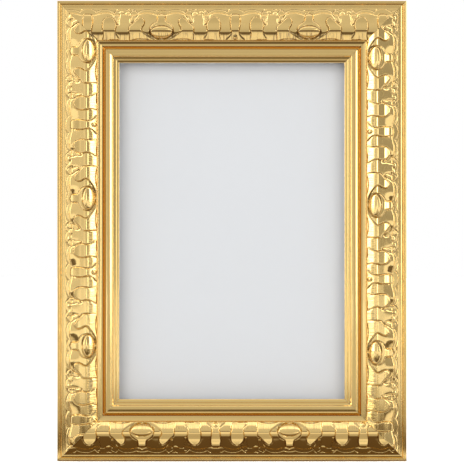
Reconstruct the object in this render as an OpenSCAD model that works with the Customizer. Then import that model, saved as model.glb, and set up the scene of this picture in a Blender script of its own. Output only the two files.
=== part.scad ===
// Small picture frame: four mitred mouldings with an embossed leaf ornament, a glazed
// rebate, and a backing board with an easel strut, turn buttons and ring hangers.
// Millimetres, +Z up, picture facing -Y. The origin is on the ground under the middle.

/* [Picture and glass] */
// Width of the picture, the glass and the backing board
picture_w = 90; // [70:1:200]
// Height of the picture, the glass and the backing board
picture_h = 130; // [120:1:300]
// Thickness of the picture sheet
picture_t = 0.3; // [0.1:0.05:0.6]
// Thickness of the glass
glass_t = 2; // [1.5:0.1:3]
// Gap between the glass and the side of the rebate
pane_gap = 0.5; // [0.2:0.1:1]

/* [Moulding] */
// Width of the moulding, from the outer side to the sight edge
moulding_w = 22.4; // [19:0.1:28]
// How far the lip covers the rebate
rebate_w = 5; // [3:0.1:6]
// Height of the outer side above the back
side_h = 11.8; // [10:0.1:14]
// How far the smooth ground beside the crest lies above the outer side
ground_rise = 0.2; // [0:0.05:0.3]
// Width of the rounded strip along the outer side
strip_w = 1.3; // [0.8:0.1:2]
// Radius of the thin bead beside the strip
edge_bead_r = 0.6; // [0.4:0.05:0.8]
// Width of the groove between the thin bead and the smooth ground
edge_groove_w = 0.15; // [0.1:0.05:0.4]
// Width of the smooth ground between the thin bead and the ornament
ground_w = 0.3; // [0.2:0.1:0.5]
// Place of the top of the crest across the moulding, as a share of its width
crest_share = 0.513; // [0.48:0.001:0.53]
// Height of the crest above the back
crest_h = 17; // [15:0.1:20]
// Radius of the crest on its outer side, where it turns into the slope
roll_r = 3; // [2:0.1:4]
// Width of the rounded inner fall of the crest
fall_w = 3; // [2:0.1:3.4]
// Height of the flat floor inside the crest
floor_h = 12.2; // [11:0.1:13.4]
// Radius of the smooth bead near the sight edge
inner_bead_r = 1.5; // [1:0.1:1.7]
// Width of the sharp groove at the foot of that bead
quirk_w = 0.6; // [0.3:0.1:0.8]
// Depth of that groove below the floor
quirk_d = 0.8; // [0.4:0.1:1.2]
// Width of the rounded sight edge
lip_w = 1.5; // [1:0.1:2]
// How far the sight edge lies below the floor
lip_drop = 0.6; // [0.3:0.1:1.2]

/* [Ornament] */
// Length of one repeat of the ornament, from oval to oval
repeat_l = 53; // [40:0.5:70]
// Distance from the outer side to the scalloped edge of the ornament
rim_in = 3.8; // [3.4:0.1:4.6]
// Thickness of the continuous sheet that carries the ornament
base_t = 0.15; // [0.1:0.05:0.3]
// Height of the scalloped rim above the smooth ground
rim_t = 0.5; // [0.4:0.05:0.8]
// Height of the crescents on the rim above the smooth ground
crescent_t = 1.3; // [1:0.05:1.6]
// Thickness of the raised leaves over the crest
leaf_t = 0.65; // [0.5:0.05:0.9]
// How far the flat tips of the leaves lie below the top of the crest
tip_drop = 0.8; // [0.5:0.05:1.5]
// Width of the ramp from the rim up to the height of the leaf tips
ramp_w = 3.4; // [2.5:0.1:4]
// Height of the oval bosses above the moulding
boss_t = 1; // [0.8:0.05:1.3]
// Width of the groove round each oval boss
boss_groove = 0.4; // [0.2:0.05:0.6]
// Width of the collar round the inner side of each oval boss
collar_w = 0.8; // [0.5:0.1:1.2]
// Place of one oval along the top rail, from its middle towards the left
oval_top = 25.3; // [-30:0.1:30]
// Place of one oval along the bottom rail, from its middle towards the right
oval_bottom = 20.7; // [-30:0.1:30]
// Place of one oval along the left rail, from its middle downwards
oval_left = -11.7; // [-30:0.1:30]
// Place of one oval along the right rail, from its middle upwards
oval_right = 9.2; // [-30:0.1:30]

/* [Corner nails] */
// Length of each leg of a corner nail
nail_leg = 4; // [3:0.1:4.8]
// Thickness of a corner nail
nail_t = 0.5; // [0.3:0.05:0.8]
// Depth of a corner nail in the wood
nail_depth = 7; // [5:0.1:9]
// Place of the outer nail between the outer side and the rebate, as a share
nail_outer_share = 0.26; // [0.2:0.01:0.3]
// Place of the inner nail between the outer side and the rebate, as a share
nail_inner_share = 0.66; // [0.6:0.01:0.68]

/* [Backing board] */
// Thickness of the backing board
board_t = 2.5; // [2:0.1:4]
// How far the board lies below the back of the rails
board_inset = 0.2; // [0.1:0.05:0.5]

/* [Easel strut] */
// Height of the strut's hinge above the ground
hinge_z = 105; // [80:1:115]
// Largest opening angle of the strut
strut_open = 30; // [25:1:40]
// Height of the strut's foot above the ground when it is closed
foot_z = 2.5; // [1:0.1:6]
// Width of the strut at its hinge
leg_top_w = 20; // [20:0.5:30]
// Width of the strut at its foot
leg_foot_w = 34; // [26:0.5:50]
// Radius of the corners at the strut's foot
leg_corner_r = 4; // [2:0.5:8]
// Gap between the closed strut and the board
leg_gap = 0.5; // [0.3:0.1:0.8]
// Outer radius of the hinge's knuckles
knuckle_r = 1.9; // [1.8:0.05:2.4]
// Radius of the hinge pin
hinge_pin_r = 0.8; // [0.6:0.05:0.9]
// Thickness of the hinge's sheet metal
leaf_metal_t = 0.8; // [0.6:0.05:0.9]
// Width of the hinge's two leaves
hinge_w = 18; // [16:0.5:20]
// Width of the middle knuckle
middle_knuckle_w = 7; // [5:0.5:8]
// Length of each leaf from the pin
hinge_leaf_l = 13; // [12:0.5:16]
// Gap between neighbouring knuckles
knuckle_gap = 0.25; // [0.15:0.05:0.4]
// Radius of the rivets' shanks
rivet_r = 1; // [0.7:0.05:1.2]
// Radius of the rivets' heads
rivet_head_r = 1.8; // [1.5:0.05:2]
// Height of the rivets' heads
rivet_head_h = 0.7; // [0.5:0.05:1]

/* [Turn buttons] */
// Distance from a turn button's screw to its tip
button_l = 11.4; // [10:0.1:11.6]
// Radius of a turn button round its screw
button_r = 3.4; // [3:0.1:4]
// Radius of a turn button's tip
button_tip_r = 2.4; // [1.5:0.1:3]
// Thickness of a turn button
button_t = 0.8; // [0.6:0.05:1.2]
// Distance from the rebate's edge to a turn button's screw
button_in = 5.5; // [5:0.1:6]
// Height of the lower and upper turn buttons from the frame's middle, as a share of its height
button_place_share = 0.24; // [0.2:0.01:0.3]

/* [Hangers] */
// Half width of a hanger's ring, to the middle of its wire
ring_r = 7; // [6.8:0.1:9]
// Radius of the ring's wire
ring_wire_r = 0.6; // [0.5:0.05:0.7]
// Width of a hanger's strap
strap_w = 7; // [6:0.1:8]
// Thickness of a hanger's strap
strap_t = 0.8; // [0.7:0.05:1]
// Distance from the ring's bar to the strap's screw
strap_screw_l = 4.2; // [4:0.1:4.4]
// Distance from the rebate's edge to the ring's bar
strap_in = 2.2; // [2:0.1:5]

/* [Screws] */
// Radius of a screw's shank
screw_r = 1.1; // [0.8:0.05:1.2]
// Length of a screw's shank in the wood
screw_depth = 8; // [5:0.1:9]
// Radius of a screw's head
screw_head_r = 2; // [1.8:0.05:2.1]
// Height of a screw's head
screw_head_h = 1; // [0.8:0.05:1.2]
// Width of the cross in a screw's head
cross_w = 0.5; // [0.3:0.05:0.6]
// Depth of the cross in a screw's head
cross_d = 0.5; // [0.3:0.05:0.6]

/* [Hidden] */

$fn = 64;
// Facets of a full circle in the ornament
ornament_fn = 28;

// Running clearance of a pin or screw in a moving piece
run_gap = 0.05;
// Gap between a moving plate and what it lies on
plate_gap = 0.1;
// Overrun of every cut past the piece it cuts
over = 1;

// Overall sizes
sight_w = picture_w + 2 * pane_gap - 2 * rebate_w;
sight_h = picture_h + 2 * pane_gap - 2 * rebate_w;
frame_w = sight_w + 2 * moulding_w;
frame_h = sight_h + 2 * moulding_w;
rebate_depth = glass_t + picture_t + board_t + board_inset;
rebate_in = moulding_w - rebate_w;
front_reach = crest_h + boss_t;
back_reach = 2 * knuckle_r - board_inset + rivet_head_h;
back_y = (front_reach - back_reach) / 2;
board_y = back_y - board_inset;
mid_z = frame_h / 2;

// Moulding section, measured inwards from the outer side and up from the back
ground_h = side_h + ground_rise;
ground_in = strip_w + 2 * edge_bead_r + edge_groove_w;
toe_in = ground_in + ground_w;
crest_in = moulding_w * crest_share;
fall_in = crest_in + fall_w;
inner_bead_in = moulding_w - lip_w - inner_bead_r;
lip_h = floor_h - lip_drop;

// Ornament field, along half a repeat and across from the scalloped rim to the inner fall
half_l = repeat_l / 2;
field_w = fall_in - rim_in;
tip_h = crest_h - tip_drop;

// Foot of the crest's slope, as a share of the field, and the slope that just touches the crest
foot_share = 0.06;
foot_in = rim_in + foot_share * field_w;
foot_to_roll = [crest_in - foot_in, crest_h - roll_r - ground_h];
slope = atan2(foot_to_roll[1], foot_to_roll[0]) + asin(roll_r / norm(foot_to_roll));

// Scallops of the rim over half a repeat: start, end, peak and cusp, the first two as shares of
// half a repeat and the last two as shares of the field
scallop_shares = [
    [-0.082, 0.082, -0.02, 0.03],
    [0.082, 0.326, -0.03, 0.09],
    [0.326, 0.448, -0.04, 0.06],
    [0.448, 0.639, -0.06, 0.08],
    [0.639, 0.89, -0.03, 0.08],
    [0.89, 1.11, -0.065, 0.05]];
// Straight inner side of the rim, as a share of the field
rim_band_share = 0.14;
// The two scallops that carry a raised crescent
crescent_rows = [1, 4];
// Margin of a crescent inside its scallop, as a share of half a repeat
crescent_margin_share = 0.012;
// Oval boss: half length as a share of half a repeat, near and far side as shares of the field
oval_half_share = 0.15;
oval_near_share = 0.49;
oval_far_share = 0.95;
// Stem under the oval: half width of its neck and foot, radius and place of its hollow sides,
// and its outer end
stem_neck_share = 0.052;
stem_foot_share = 0.105;
stem_hollow_share = 0.2;
stem_place_share = 0.32;
stem_end_share = 0.02;
// Hooked leaf beside the oval: its outline from the crest round the tip and back to the crest
hook_shares = [[0.235, 1], [0.258, 0.62], [0.239, 0.36], [0.239, 0.314],
               [0.272, 0.314], [0.305, 0.27], [0.432, 0.5], [0.432, 1]];
// Centre of the hooked leaf's round tip, and its radius as a share of the field
hook_tip_shares = [0.272, 0.314];
hook_tip_share = 0.08;
// Two arms of the lobed leaf, on both sides of its hollow
arm_shares = [
    [[0.326, 0.1], [0.4, 0.08], [0.424, 0.2], [0.424, 0.3], [0.394, 0.37]],
    [[0.579, 0.08], [0.639, 0.1], [0.652, 0.22], [0.618, 0.38], [0.603, 0.46], [0.579, 0.32]]];
// Pearls at the foot of the hollow, and their radius as a share of the field
pearl_shares = [[0.442, 0.14], [0.543, 0.08]];
pearl_share = 0.04;
// Round-tipped leaf: its two sides and the middle of its tip
tongue_shares = [0.611, 0.799];
tongue_end_share = 0.44;
// Flared leaf between two repeats: half widths, radius and place of its hollow sides
flare_half_share = 0.15;
flare_waist_share = 0.0625;
flare_hollow_share = 0.63;
flare_place_share = 0.44;

// Places of the rivets along and across a hinge leaf, as shares of its length and width
rivet_place_share = 0.68;
rivet_side_share = 0.3;
// Hinge
hinge_y = board_y + knuckle_r;
leg_t = 2 * knuckle_r - leaf_metal_t - leg_gap;
leg_top_z = hinge_z - knuckle_r - leg_gap;
side_knuckle_w = (hinge_w - middle_knuckle_w) / 2 - knuckle_gap;
rivet_l = hinge_leaf_l * rivet_place_share;
rivet_side = hinge_w * rivet_side_share;
heel_rise = knuckle_r - leaf_metal_t;
heel_l = (heel_rise * cos(strut_open) + heel_rise - plate_gap) / sin(strut_open);

// Turn buttons and hangers
button_x = frame_w / 2 - rebate_in + button_in;
button_dz = frame_h * button_place_share;
loop_r = ring_wire_r + run_gap + strap_t;
strap_end_r = strap_w / 2;
hanger_top_z = frame_h - rebate_in + strap_in;
hanger_side_x = frame_w / 2 - rebate_in + strap_in;

// Rectangle from one corner to the opposite one
module box2(low, high) {
    translate(low) square([high[0] - low[0], high[1] - low[1]]);
}

// Solid section of the moulding: x inwards from the outer side, y up from the back
module moulding_section() {
    difference() {
        union() {
            box2([0, 0], [moulding_w - lip_w / 2, lip_h - lip_w / 2]);
            box2([0, 0], [strip_w, side_h - strip_w / 2]);
            translate([strip_w / 2, side_h - strip_w / 2]) circle(r = strip_w / 2);
            box2([strip_w / 2, 0], [toe_in, side_h - edge_bead_r]);
            translate([strip_w + edge_bead_r, side_h - edge_bead_r / 2]) circle(r = edge_bead_r);
            box2([ground_in, 0], [fall_in, ground_h]);
            crest_section(0);
            box2([fall_in - fall_w / 2, 0], [inner_bead_in - inner_bead_r, floor_h]);
            translate([inner_bead_in, floor_h - quirk_d / 2]) circle(r = inner_bead_r);
            box2([inner_bead_in - inner_bead_r, 0], [inner_bead_in + inner_bead_r, lip_h - lip_w / 2]);
            box2([moulding_w - lip_w, 0], [moulding_w, lip_h - lip_w / 2]);
            translate([moulding_w - lip_w / 2, lip_h - lip_w / 2]) circle(r = lip_w / 2);
        }
        box2([rebate_in, -over], [moulding_w + over, rebate_depth]);
        translate([inner_bead_in - inner_bead_r, floor_h])
            rotate(45)
            square(quirk_w, center = true);
    }
}

// Crest with a straight outer slope and a rounded inner fall, thickened by t all over
module crest_section(t) {
    r = roll_r + t;
    touch = [crest_in - r * sin(slope), crest_h - roll_r + r * cos(slope)];
    foot = touch - [(touch[1] - ground_h) / tan(slope), touch[1] - ground_h];
    intersection() {
        translate([crest_in, crest_h - roll_r]) circle(r = r);
        box2([touch[0], ground_h], [crest_in, crest_h + t]);
    }
    polygon([foot, [crest_in, ground_h], [crest_in, crest_h - roll_r], touch]);
    intersection() {
        translate([crest_in, crest_h - fall_w]) circle(r = fall_w + t);
        box2([crest_in, crest_h - fall_w], [fall_in + t, crest_h + t]);
    }
    box2([crest_in, floor_h], [fall_in + t, crest_h - fall_w]);
}

// What a drawing adds to the crest
module over_crest() {
    difference() {
        children();
        crest_section(0);
        box2([crest_in - fall_w / 2, 0], [crest_in + fall_w / 2, crest_h - fall_w]);
    }
}

module skin_section(t) {
    over_crest() crest_section(t);
}

// Continuous sheet over the crest and the smooth ground beside it
module base_section() {
    over_crest() {
        crest_section(base_t);
        box2([toe_in, ground_h], [crest_in, ground_h + base_t]);
    }
}

// Flat strip along the rim, of height t
module rim_section(t) {
    over_crest() box2([toe_in, ground_h], [crest_in, ground_h + t]);
}

// Leaf that lies on the crest and stands off its slope, with a ramp of a given width at the rim
module leaf_section(ramp) {
    over_crest() {
        crest_section(leaf_t);
        polygon([[toe_in, ground_h], [crest_in, ground_h], [crest_in, tip_h],
                 [rim_in + ramp, tip_h], [rim_in, ground_h + rim_t], [toe_in, ground_h + rim_t]]);
    }
}

// Turns a drawing of the section into a bar along X, with its outer side down and its back at y = 0
module bar(l) {
    rotate([0, -90, 180]) linear_extrude(height = l, center = true) children();
}

// Plan of a rail between its two mitres, x along the rail and y inwards, raised to the front
module mitre_block(l) {
    rotate([90, 0, 0])
        translate([0, 0, -over])
        linear_extrude(height = front_reach + 2 * over)
        polygon([[-l / 2, 0], [l / 2, 0],
                 [l / 2 - moulding_w, moulding_w], [-l / 2 + moulding_w, moulding_w]]);
}

// Puts a rail drawn along the bottom at its own side of the frame
module at_side(turn, half_span) {
    translate([0, back_y, mid_z])
        rotate([0, turn, 0])
        translate([0, 0, -half_span])
        children();
}

module rail(l) {
    color([0.85, 0.72, 0.43])
        intersection() {
            bar(l + 2 * over) moulding_section();
            mitre_block(l);
        }
}

// Place along the rail and across it, from shares of half a repeat and of the field
function at(u, v) = [u * half_l, rim_in + v * field_w];

// One scallop of the rim, with a margin on both sides
module scallop(s, margin) {
    reach = (s[1] - s[0]) * half_l / 2;
    sag = (s[3] - s[2]) * field_w;
    r = (reach * reach + sag * sag) / (2 * sag);
    intersection() {
        translate(at((s[0] + s[1]) / 2, s[2]) + [0, r]) circle(r = r);
        box2(at(s[0] + margin, s[2]), at(s[1] - margin, rim_band_share));
    }
}

// Rounded bar with its long side along the rail
module oval_outline(grow) {
    mid = (oval_near_share + oval_far_share) / 2;
    r = (oval_far_share - oval_near_share) * field_w / 2;
    side = oval_half_share * half_l - r;
    for (x = [-side, side]) translate(at(0, mid) + [x, 0]) circle(r = r + grow);
    box2(at(0, mid) - [side, r + grow], at(0, mid) + [side, r + grow]);
}

// Stem that narrows below the oval and spreads again at the rim
module stem_outline() {
    r = stem_hollow_share * field_w;
    difference() {
        union() {
            box2(at(-oval_half_share, stem_place_share), at(oval_half_share, oval_near_share));
            box2(at(-stem_foot_share, stem_end_share), at(stem_foot_share, stem_place_share));
        }
        for (side = [-1, 1])
            translate(at(side * stem_neck_share, stem_place_share) + [side * r, 0]) circle(r = r);
        oval_outline(boss_groove);
    }
}

// Collar round the oval on the side of the picture
module collar_outline() {
    mid = (oval_near_share + oval_far_share) / 2;
    difference() {
        oval_outline(boss_groove + collar_w);
        oval_outline(boss_groove);
        box2(at(-1, -1), at(1, mid));
    }
}

// Outline given by shares of half a repeat and of the field
module shared_outline(shares) {
    polygon([for (s = shares) at(s[0], s[1])]);
}

module hook_outline() {
    shared_outline(hook_shares);
    box2(at(hook_shares[0][0], 1), at(hook_shares[7][0], 1) + [0, field_w]);
    translate(at(hook_tip_shares[0], hook_tip_shares[1])) circle(r = hook_tip_share * field_w);
}

module tongue_outline() {
    r = (tongue_shares[1] - tongue_shares[0]) * half_l / 2;
    box2(at(tongue_shares[0], tongue_end_share), at(tongue_shares[1], 1) + [0, field_w]);
    translate(at((tongue_shares[0] + tongue_shares[1]) / 2, tongue_end_share)) circle(r = r);
}

module flare_outline() {
    r = flare_hollow_share * field_w;
    difference() {
        box2(at(1 - flare_half_share, 0), at(1 + flare_half_share, 1) + [0, field_w]);
        for (side = [-1, 1])
            translate(at(1 + side * flare_waist_share, flare_place_share) + [side * r, 0]) circle(r = r);
    }
}

// Repeats a drawing of half a repeat, mirrored about each oval, along a rail
module repeats(l, place) {
    turns = ceil(l / repeat_l / 2) + 1;
    for (i = [-turns : turns])
        translate([place + i * repeat_l, 0])
        for (side = [0, 1]) mirror([side, 0]) children();
}

// Bar with the section drawn first, cut to the leaves drawn second
module embossed(l, place) {
    intersection() {
        bar(l + 2 * over) children(0);
        rotate([90, 0, 0])
            translate([0, 0, -over])
            linear_extrude(height = front_reach + 2 * over)
            repeats(l, place)
            children(1);
    }
}

// Ornament along one rail, with one oval at the given place
module ornament(l, place) {
    $fn = ornament_fn;
    color([0.88, 0.75, 0.46])
        intersection() {
            union() {
                bar(l + 2 * over) base_section();
                embossed(l, place) {
                    rim_section(rim_t);
                    for (s = scallop_shares) scallop(s, 0);
                }
                embossed(l, place) {
                    rim_section(crescent_t);
                    for (i = crescent_rows) scallop(scallop_shares[i], crescent_margin_share);
                }
                embossed(l, place) {
                    leaf_section(0);
                    union() {
                        hook_outline();
                        tongue_outline();
                    }
                }
                embossed(l, place) {
                    leaf_section(ramp_w);
                    union() {
                        flare_outline();
                        stem_outline();
                    }
                }
                embossed(l, place) {
                    skin_section(leaf_t);
                    union() {
                        collar_outline();
                        for (shares = arm_shares) shared_outline(shares);
                    }
                }
                embossed(l, place) {
                    skin_section(boss_t);
                    union() {
                        oval_outline(0);
                        for (s = pearl_shares)
                            translate(at(s[0], s[1])) circle(r = pearl_share * field_w);
                    }
                }
            }
            mitre_block(l);
        }
}

// One corner nail at the lower left corner, a given distance from both outer sides
module corner_nail(inset) {
    translate([-frame_w / 2 + inset, back_y - nail_depth, inset]) {
        cube([nail_leg, nail_depth, nail_t]);
        cube([nail_t, nail_depth, nail_leg]);
    }
}

module nails() {
    for (side = [0, 1])
        for (end = [0, 1])
            mirror([side, 0, 0])
            translate([0, 0, mid_z])
            mirror([0, 0, end])
            translate([0, 0, -mid_z])
            for (share = [nail_outer_share, nail_inner_share]) corner_nail(share * rebate_in);
}

// Runs a drawing round the Y axis outwards from the back
module outwards() {
    rotate([-90, 0, 0]) children();
}

// Flat-bottomed dome
module dome(r, h) {
    ball = (r * r + h * h) / (2 * h);
    rotate_extrude()
        intersection() {
            translate([0, h - ball]) circle(r = ball);
            square([r, h]);
        }
}

// Screw with its head's seat a given distance behind the rails
module screw(seat) {
    outwards() {
        translate([0, 0, -screw_depth]) cylinder(h = screw_depth + seat, r = screw_r);
        translate([0, 0, seat])
            difference() {
                dome(screw_head_r, screw_head_h);
                for (turn = [0, 90])
                    rotate(turn)
                    translate([0, 0, screw_head_h])
                    cube([2 * screw_r, cross_w, 2 * cross_d], center = true);
            }
    }
}

// Hole for a screw in a rail
module screw_hole() {
    outwards() translate([0, 0, -screw_depth]) cylinder(h = screw_depth + over, r = screw_r);
}

// Rivet from the inner side of a board to its head on the hinge leaf
module rivet(l) {
    outwards() {
        cylinder(h = l, r = rivet_r);
        translate([0, 0, l]) dome(rivet_head_r, rivet_head_h);
    }
}

module at_buttons() {
    for (side = [-1, 1])
        for (dz = [-button_dz, button_dz])
            translate([side * button_x, back_y, mid_z + dz]) children();
}

module at_hanger_screws() {
    translate([0, back_y, hanger_top_z + strap_screw_l]) children();
    translate([hanger_side_x + strap_screw_l, back_y, mid_z]) children();
}

module at_board_rivets() {
    for (side = [-1, 1]) translate([side * rivet_side, 0, hinge_z + rivet_l]) children();
}

module at_leg_rivets() {
    for (side = [-1, 1]) translate([side * rivet_side, 0, hinge_z - rivet_l]) children();
}

module fitted_rail(turn, half_span, l) {
    difference() {
        at_side(turn, half_span) rail(l);
        nails();
        at_buttons() screw_hole();
        at_hanger_screws() screw_hole();
    }
}

module rail_bottom() {
    fitted_rail(0, frame_h / 2, frame_w);
}

module rail_top() {
    fitted_rail(180, frame_h / 2, frame_w);
}

module rail_left() {
    fitted_rail(90, frame_w / 2, frame_h);
}

module rail_right() {
    fitted_rail(-90, frame_w / 2, frame_h);
}

module ornament_bottom() {
    at_side(0, frame_h / 2) ornament(frame_w, oval_bottom);
}

module ornament_top() {
    at_side(180, frame_h / 2) ornament(frame_w, oval_top);
}

module ornament_left() {
    at_side(90, frame_w / 2) ornament(frame_h, oval_left);
}

module ornament_right() {
    at_side(-90, frame_w / 2) ornament(frame_h, oval_right);
}

module corner_nails() {
    color([0.6, 0.6, 0.62]) nails();
}

// Sheet that stands on the rebate, with its back face a given distance in front of the board's back
module sheet(from_back, t) {
    translate([-picture_w / 2, board_y - from_back - t, rebate_in])
        cube([picture_w, t, picture_h]);
}

module glass_pane() {
    color([0.9, 0.94, 0.94, 0.35]) sheet(board_t + picture_t, glass_t);
}

module picture_sheet() {
    color([0.86, 0.87, 0.88]) sheet(board_t, picture_t);
}

module backing_board() {
    color([0.1, 0.1, 0.11])
        difference() {
            sheet(0, board_t);
            at_board_rivets()
                translate([0, board_y - board_t - over, 0])
                outwards()
                cylinder(h = board_t + 2 * over, r = rivet_r);
        }
}

// Outline of the strut, x across and y up
module leg_outline() {
    half_top = leg_top_w / 2;
    half_foot = leg_foot_w / 2;
    polygon([[-half_top, leg_top_z], [-half_foot, foot_z + leg_corner_r],
             [-half_foot + leg_corner_r, foot_z], [half_foot - leg_corner_r, foot_z],
             [half_foot, foot_z + leg_corner_r], [half_top, leg_top_z]]);
    for (side = [-1, 1])
        translate([side * (half_foot - leg_corner_r), foot_z + leg_corner_r]) circle(r = leg_corner_r);
}

module strut_leg() {
    color([0.12, 0.12, 0.13])
        difference() {
            translate([0, board_y + leg_gap + leg_t, 0])
                rotate([90, 0, 0])
                linear_extrude(height = leg_t)
                leg_outline();
            at_leg_rivets()
                translate([0, board_y, 0])
                outwards()
                cylinder(h = 2 * knuckle_r, r = rivet_r);
        }
}

// Cylinder along X on the hinge's axis, between two places along X
module along_pin(from, to, r) {
    translate([from, hinge_y, hinge_z]) rotate([0, 90, 0]) cylinder(h = to - from, r = r);
}

module hinge_board_leaf() {
    edge = hinge_w / 2;
    notch = middle_knuckle_w / 2 + knuckle_gap;
    color([0.72, 0.72, 0.74])
        difference() {
            union() {
                translate([-edge, board_y, hinge_z]) cube([hinge_w, leaf_metal_t, hinge_leaf_l]);
                along_pin(-edge, -edge + side_knuckle_w, knuckle_r);
                along_pin(edge - side_knuckle_w, edge, knuckle_r);
            }
            translate([-notch, board_y - over, hinge_z - over])
                cube([2 * notch, knuckle_r + over, knuckle_r + knuckle_gap + over]);
            along_pin(-edge - over, edge + over, hinge_pin_r);
            at_board_rivets()
                translate([0, board_y - over, 0])
                outwards()
                cylinder(h = leaf_metal_t + 2 * over, r = rivet_r);
        }
}

module hinge_leg_leaf() {
    edge = hinge_w / 2;
    half = middle_knuckle_w / 2;
    color([0.72, 0.72, 0.74])
        difference() {
            union() {
                translate([-edge, hinge_y + heel_rise, hinge_z - hinge_leaf_l])
                    cube([hinge_w, leaf_metal_t, hinge_leaf_l - knuckle_r - knuckle_gap]);
                translate([-half, hinge_y + heel_rise, hinge_z - hinge_leaf_l])
                    cube([middle_knuckle_w, leaf_metal_t, hinge_leaf_l + heel_l]);
                along_pin(-half, half, knuckle_r);
            }
            along_pin(-edge - over, edge + over, hinge_pin_r + run_gap);
            at_leg_rivets()
                translate([0, hinge_y, 0])
                outwards()
                cylinder(h = knuckle_r + over, r = rivet_r);
        }
}

module hinge_pin() {
    edge = hinge_w / 2;
    head_t = leaf_metal_t / 2;
    color([0.78, 0.78, 0.8]) {
        along_pin(-edge - head_t, edge + head_t, hinge_pin_r);
        along_pin(-edge - head_t, -edge, (hinge_pin_r + knuckle_r) / 2);
        along_pin(edge, edge + head_t, (hinge_pin_r + knuckle_r) / 2);
    }
}

module board_rivets() {
    color([0.75, 0.75, 0.77])
        at_board_rivets()
        translate([0, board_y - board_t, 0])
        rivet(board_t + leaf_metal_t);
}

module leg_rivets() {
    color([0.75, 0.75, 0.77])
        at_leg_rivets()
        translate([0, board_y + leg_gap, 0])
        rivet(leg_t + leaf_metal_t);
}

// Turn button that reaches over the board on one side of the frame, above or below the middle
module turn_button(side, up) {
    reach = button_l - button_tip_r;
    color([0.8, 0.66, 0.34])
        translate([side * button_x, back_y + plate_gap, mid_z + up * button_dz])
        rotate([-90, 0, 0])
        rotate(side > 0 ? 180 : 0)
        linear_extrude(height = button_t)
        difference() {
            union() {
                circle(r = button_r);
                translate([reach, 0]) circle(r = button_tip_r);
                polygon([[0, -button_r], [reach, -button_tip_r], [reach, button_tip_r], [0, button_r]]);
            }
            circle(r = screw_r + run_gap);
        }
}

module turn_button_left_low() {
    turn_button(-1, -1);
}

module turn_button_left_high() {
    turn_button(-1, 1);
}

module turn_button_right_low() {
    turn_button(1, -1);
}

module turn_button_right_high() {
    turn_button(1, 1);
}

module turn_button_screws() {
    color([0.8, 0.66, 0.34]) at_buttons() screw(button_t + 2 * plate_gap);
}

// Strap with its ring's bar along X at the origin and its screw above, on a back at y = 0
module hanger_strap() {
    difference() {
        union() {
            translate([0, strap_t, 0])
                rotate([90, 0, 0])
                linear_extrude(height = strap_t) {
                    box2([-strap_end_r, 0], [strap_end_r, strap_screw_l]);
                    translate([0, strap_screw_l]) circle(r = strap_end_r);
                }
            translate([-strap_end_r, loop_r, 0])
                rotate([0, 90, 0])
                cylinder(h = strap_w, r = loop_r);
        }
        translate([-strap_w, loop_r, 0])
            rotate([0, 90, 0])
            cylinder(h = 2 * strap_w, r = ring_wire_r + run_gap);
        translate([0, -over, strap_screw_l])
            outwards()
            cylinder(h = strap_t + 2 * over, r = screw_r);
    }
}

// Half-round ring that hangs from its bar
module hanger_ring() {
    translate([0, loop_r, 0]) {
        rotate([0, 90, 0]) cylinder(h = 2 * ring_r, r = ring_wire_r, center = true);
        rotate([90, 0, 0])
            rotate([0, 0, 180])
            rotate_extrude(angle = 180)
            translate([ring_r, 0])
            circle(r = ring_wire_r);
        for (side = [-1, 1]) translate([side * ring_r, 0, 0]) sphere(r = ring_wire_r);
    }
}

module at_hanger_top() {
    translate([0, back_y, hanger_top_z]) children();
}

module at_hanger_side() {
    translate([hanger_side_x, back_y, mid_z]) rotate([0, 90, 0]) children();
}

module hanger_strap_top() {
    color([0.78, 0.66, 0.38]) at_hanger_top() hanger_strap();
}

module hanger_ring_top() {
    color([0.82, 0.7, 0.42]) at_hanger_top() hanger_ring();
}

module hanger_strap_side() {
    color([0.78, 0.66, 0.38]) at_hanger_side() hanger_strap();
}

module hanger_ring_side() {
    color([0.82, 0.7, 0.42]) at_hanger_side() hanger_ring();
}

module hanger_screws() {
    color([0.8, 0.66, 0.34]) at_hanger_screws() screw(strap_t);
}

rail_top();
rail_bottom();
rail_left();
rail_right();
ornament_top();
ornament_bottom();
ornament_left();
ornament_right();
corner_nails();
glass_pane();
picture_sheet();
backing_board();
strut_leg();
hinge_board_leaf();
hinge_leg_leaf();
hinge_pin();
board_rivets();
leg_rivets();
turn_button_left_low();
turn_button_left_high();
turn_button_right_low();
turn_button_right_high();
turn_button_screws();
hanger_strap_top();
hanger_ring_top();
hanger_strap_side();
hanger_ring_side();
hanger_screws();
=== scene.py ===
"""Small gilt picture frame with an embossed leaf ornament, glazed, with an easel strut.

Lengths inside the drawing code are millimetres, measured on each rail: along it from its middle,
inwards from its outer side, and forwards from its back. Every mesh ends up in metres.
"""

import math

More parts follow.
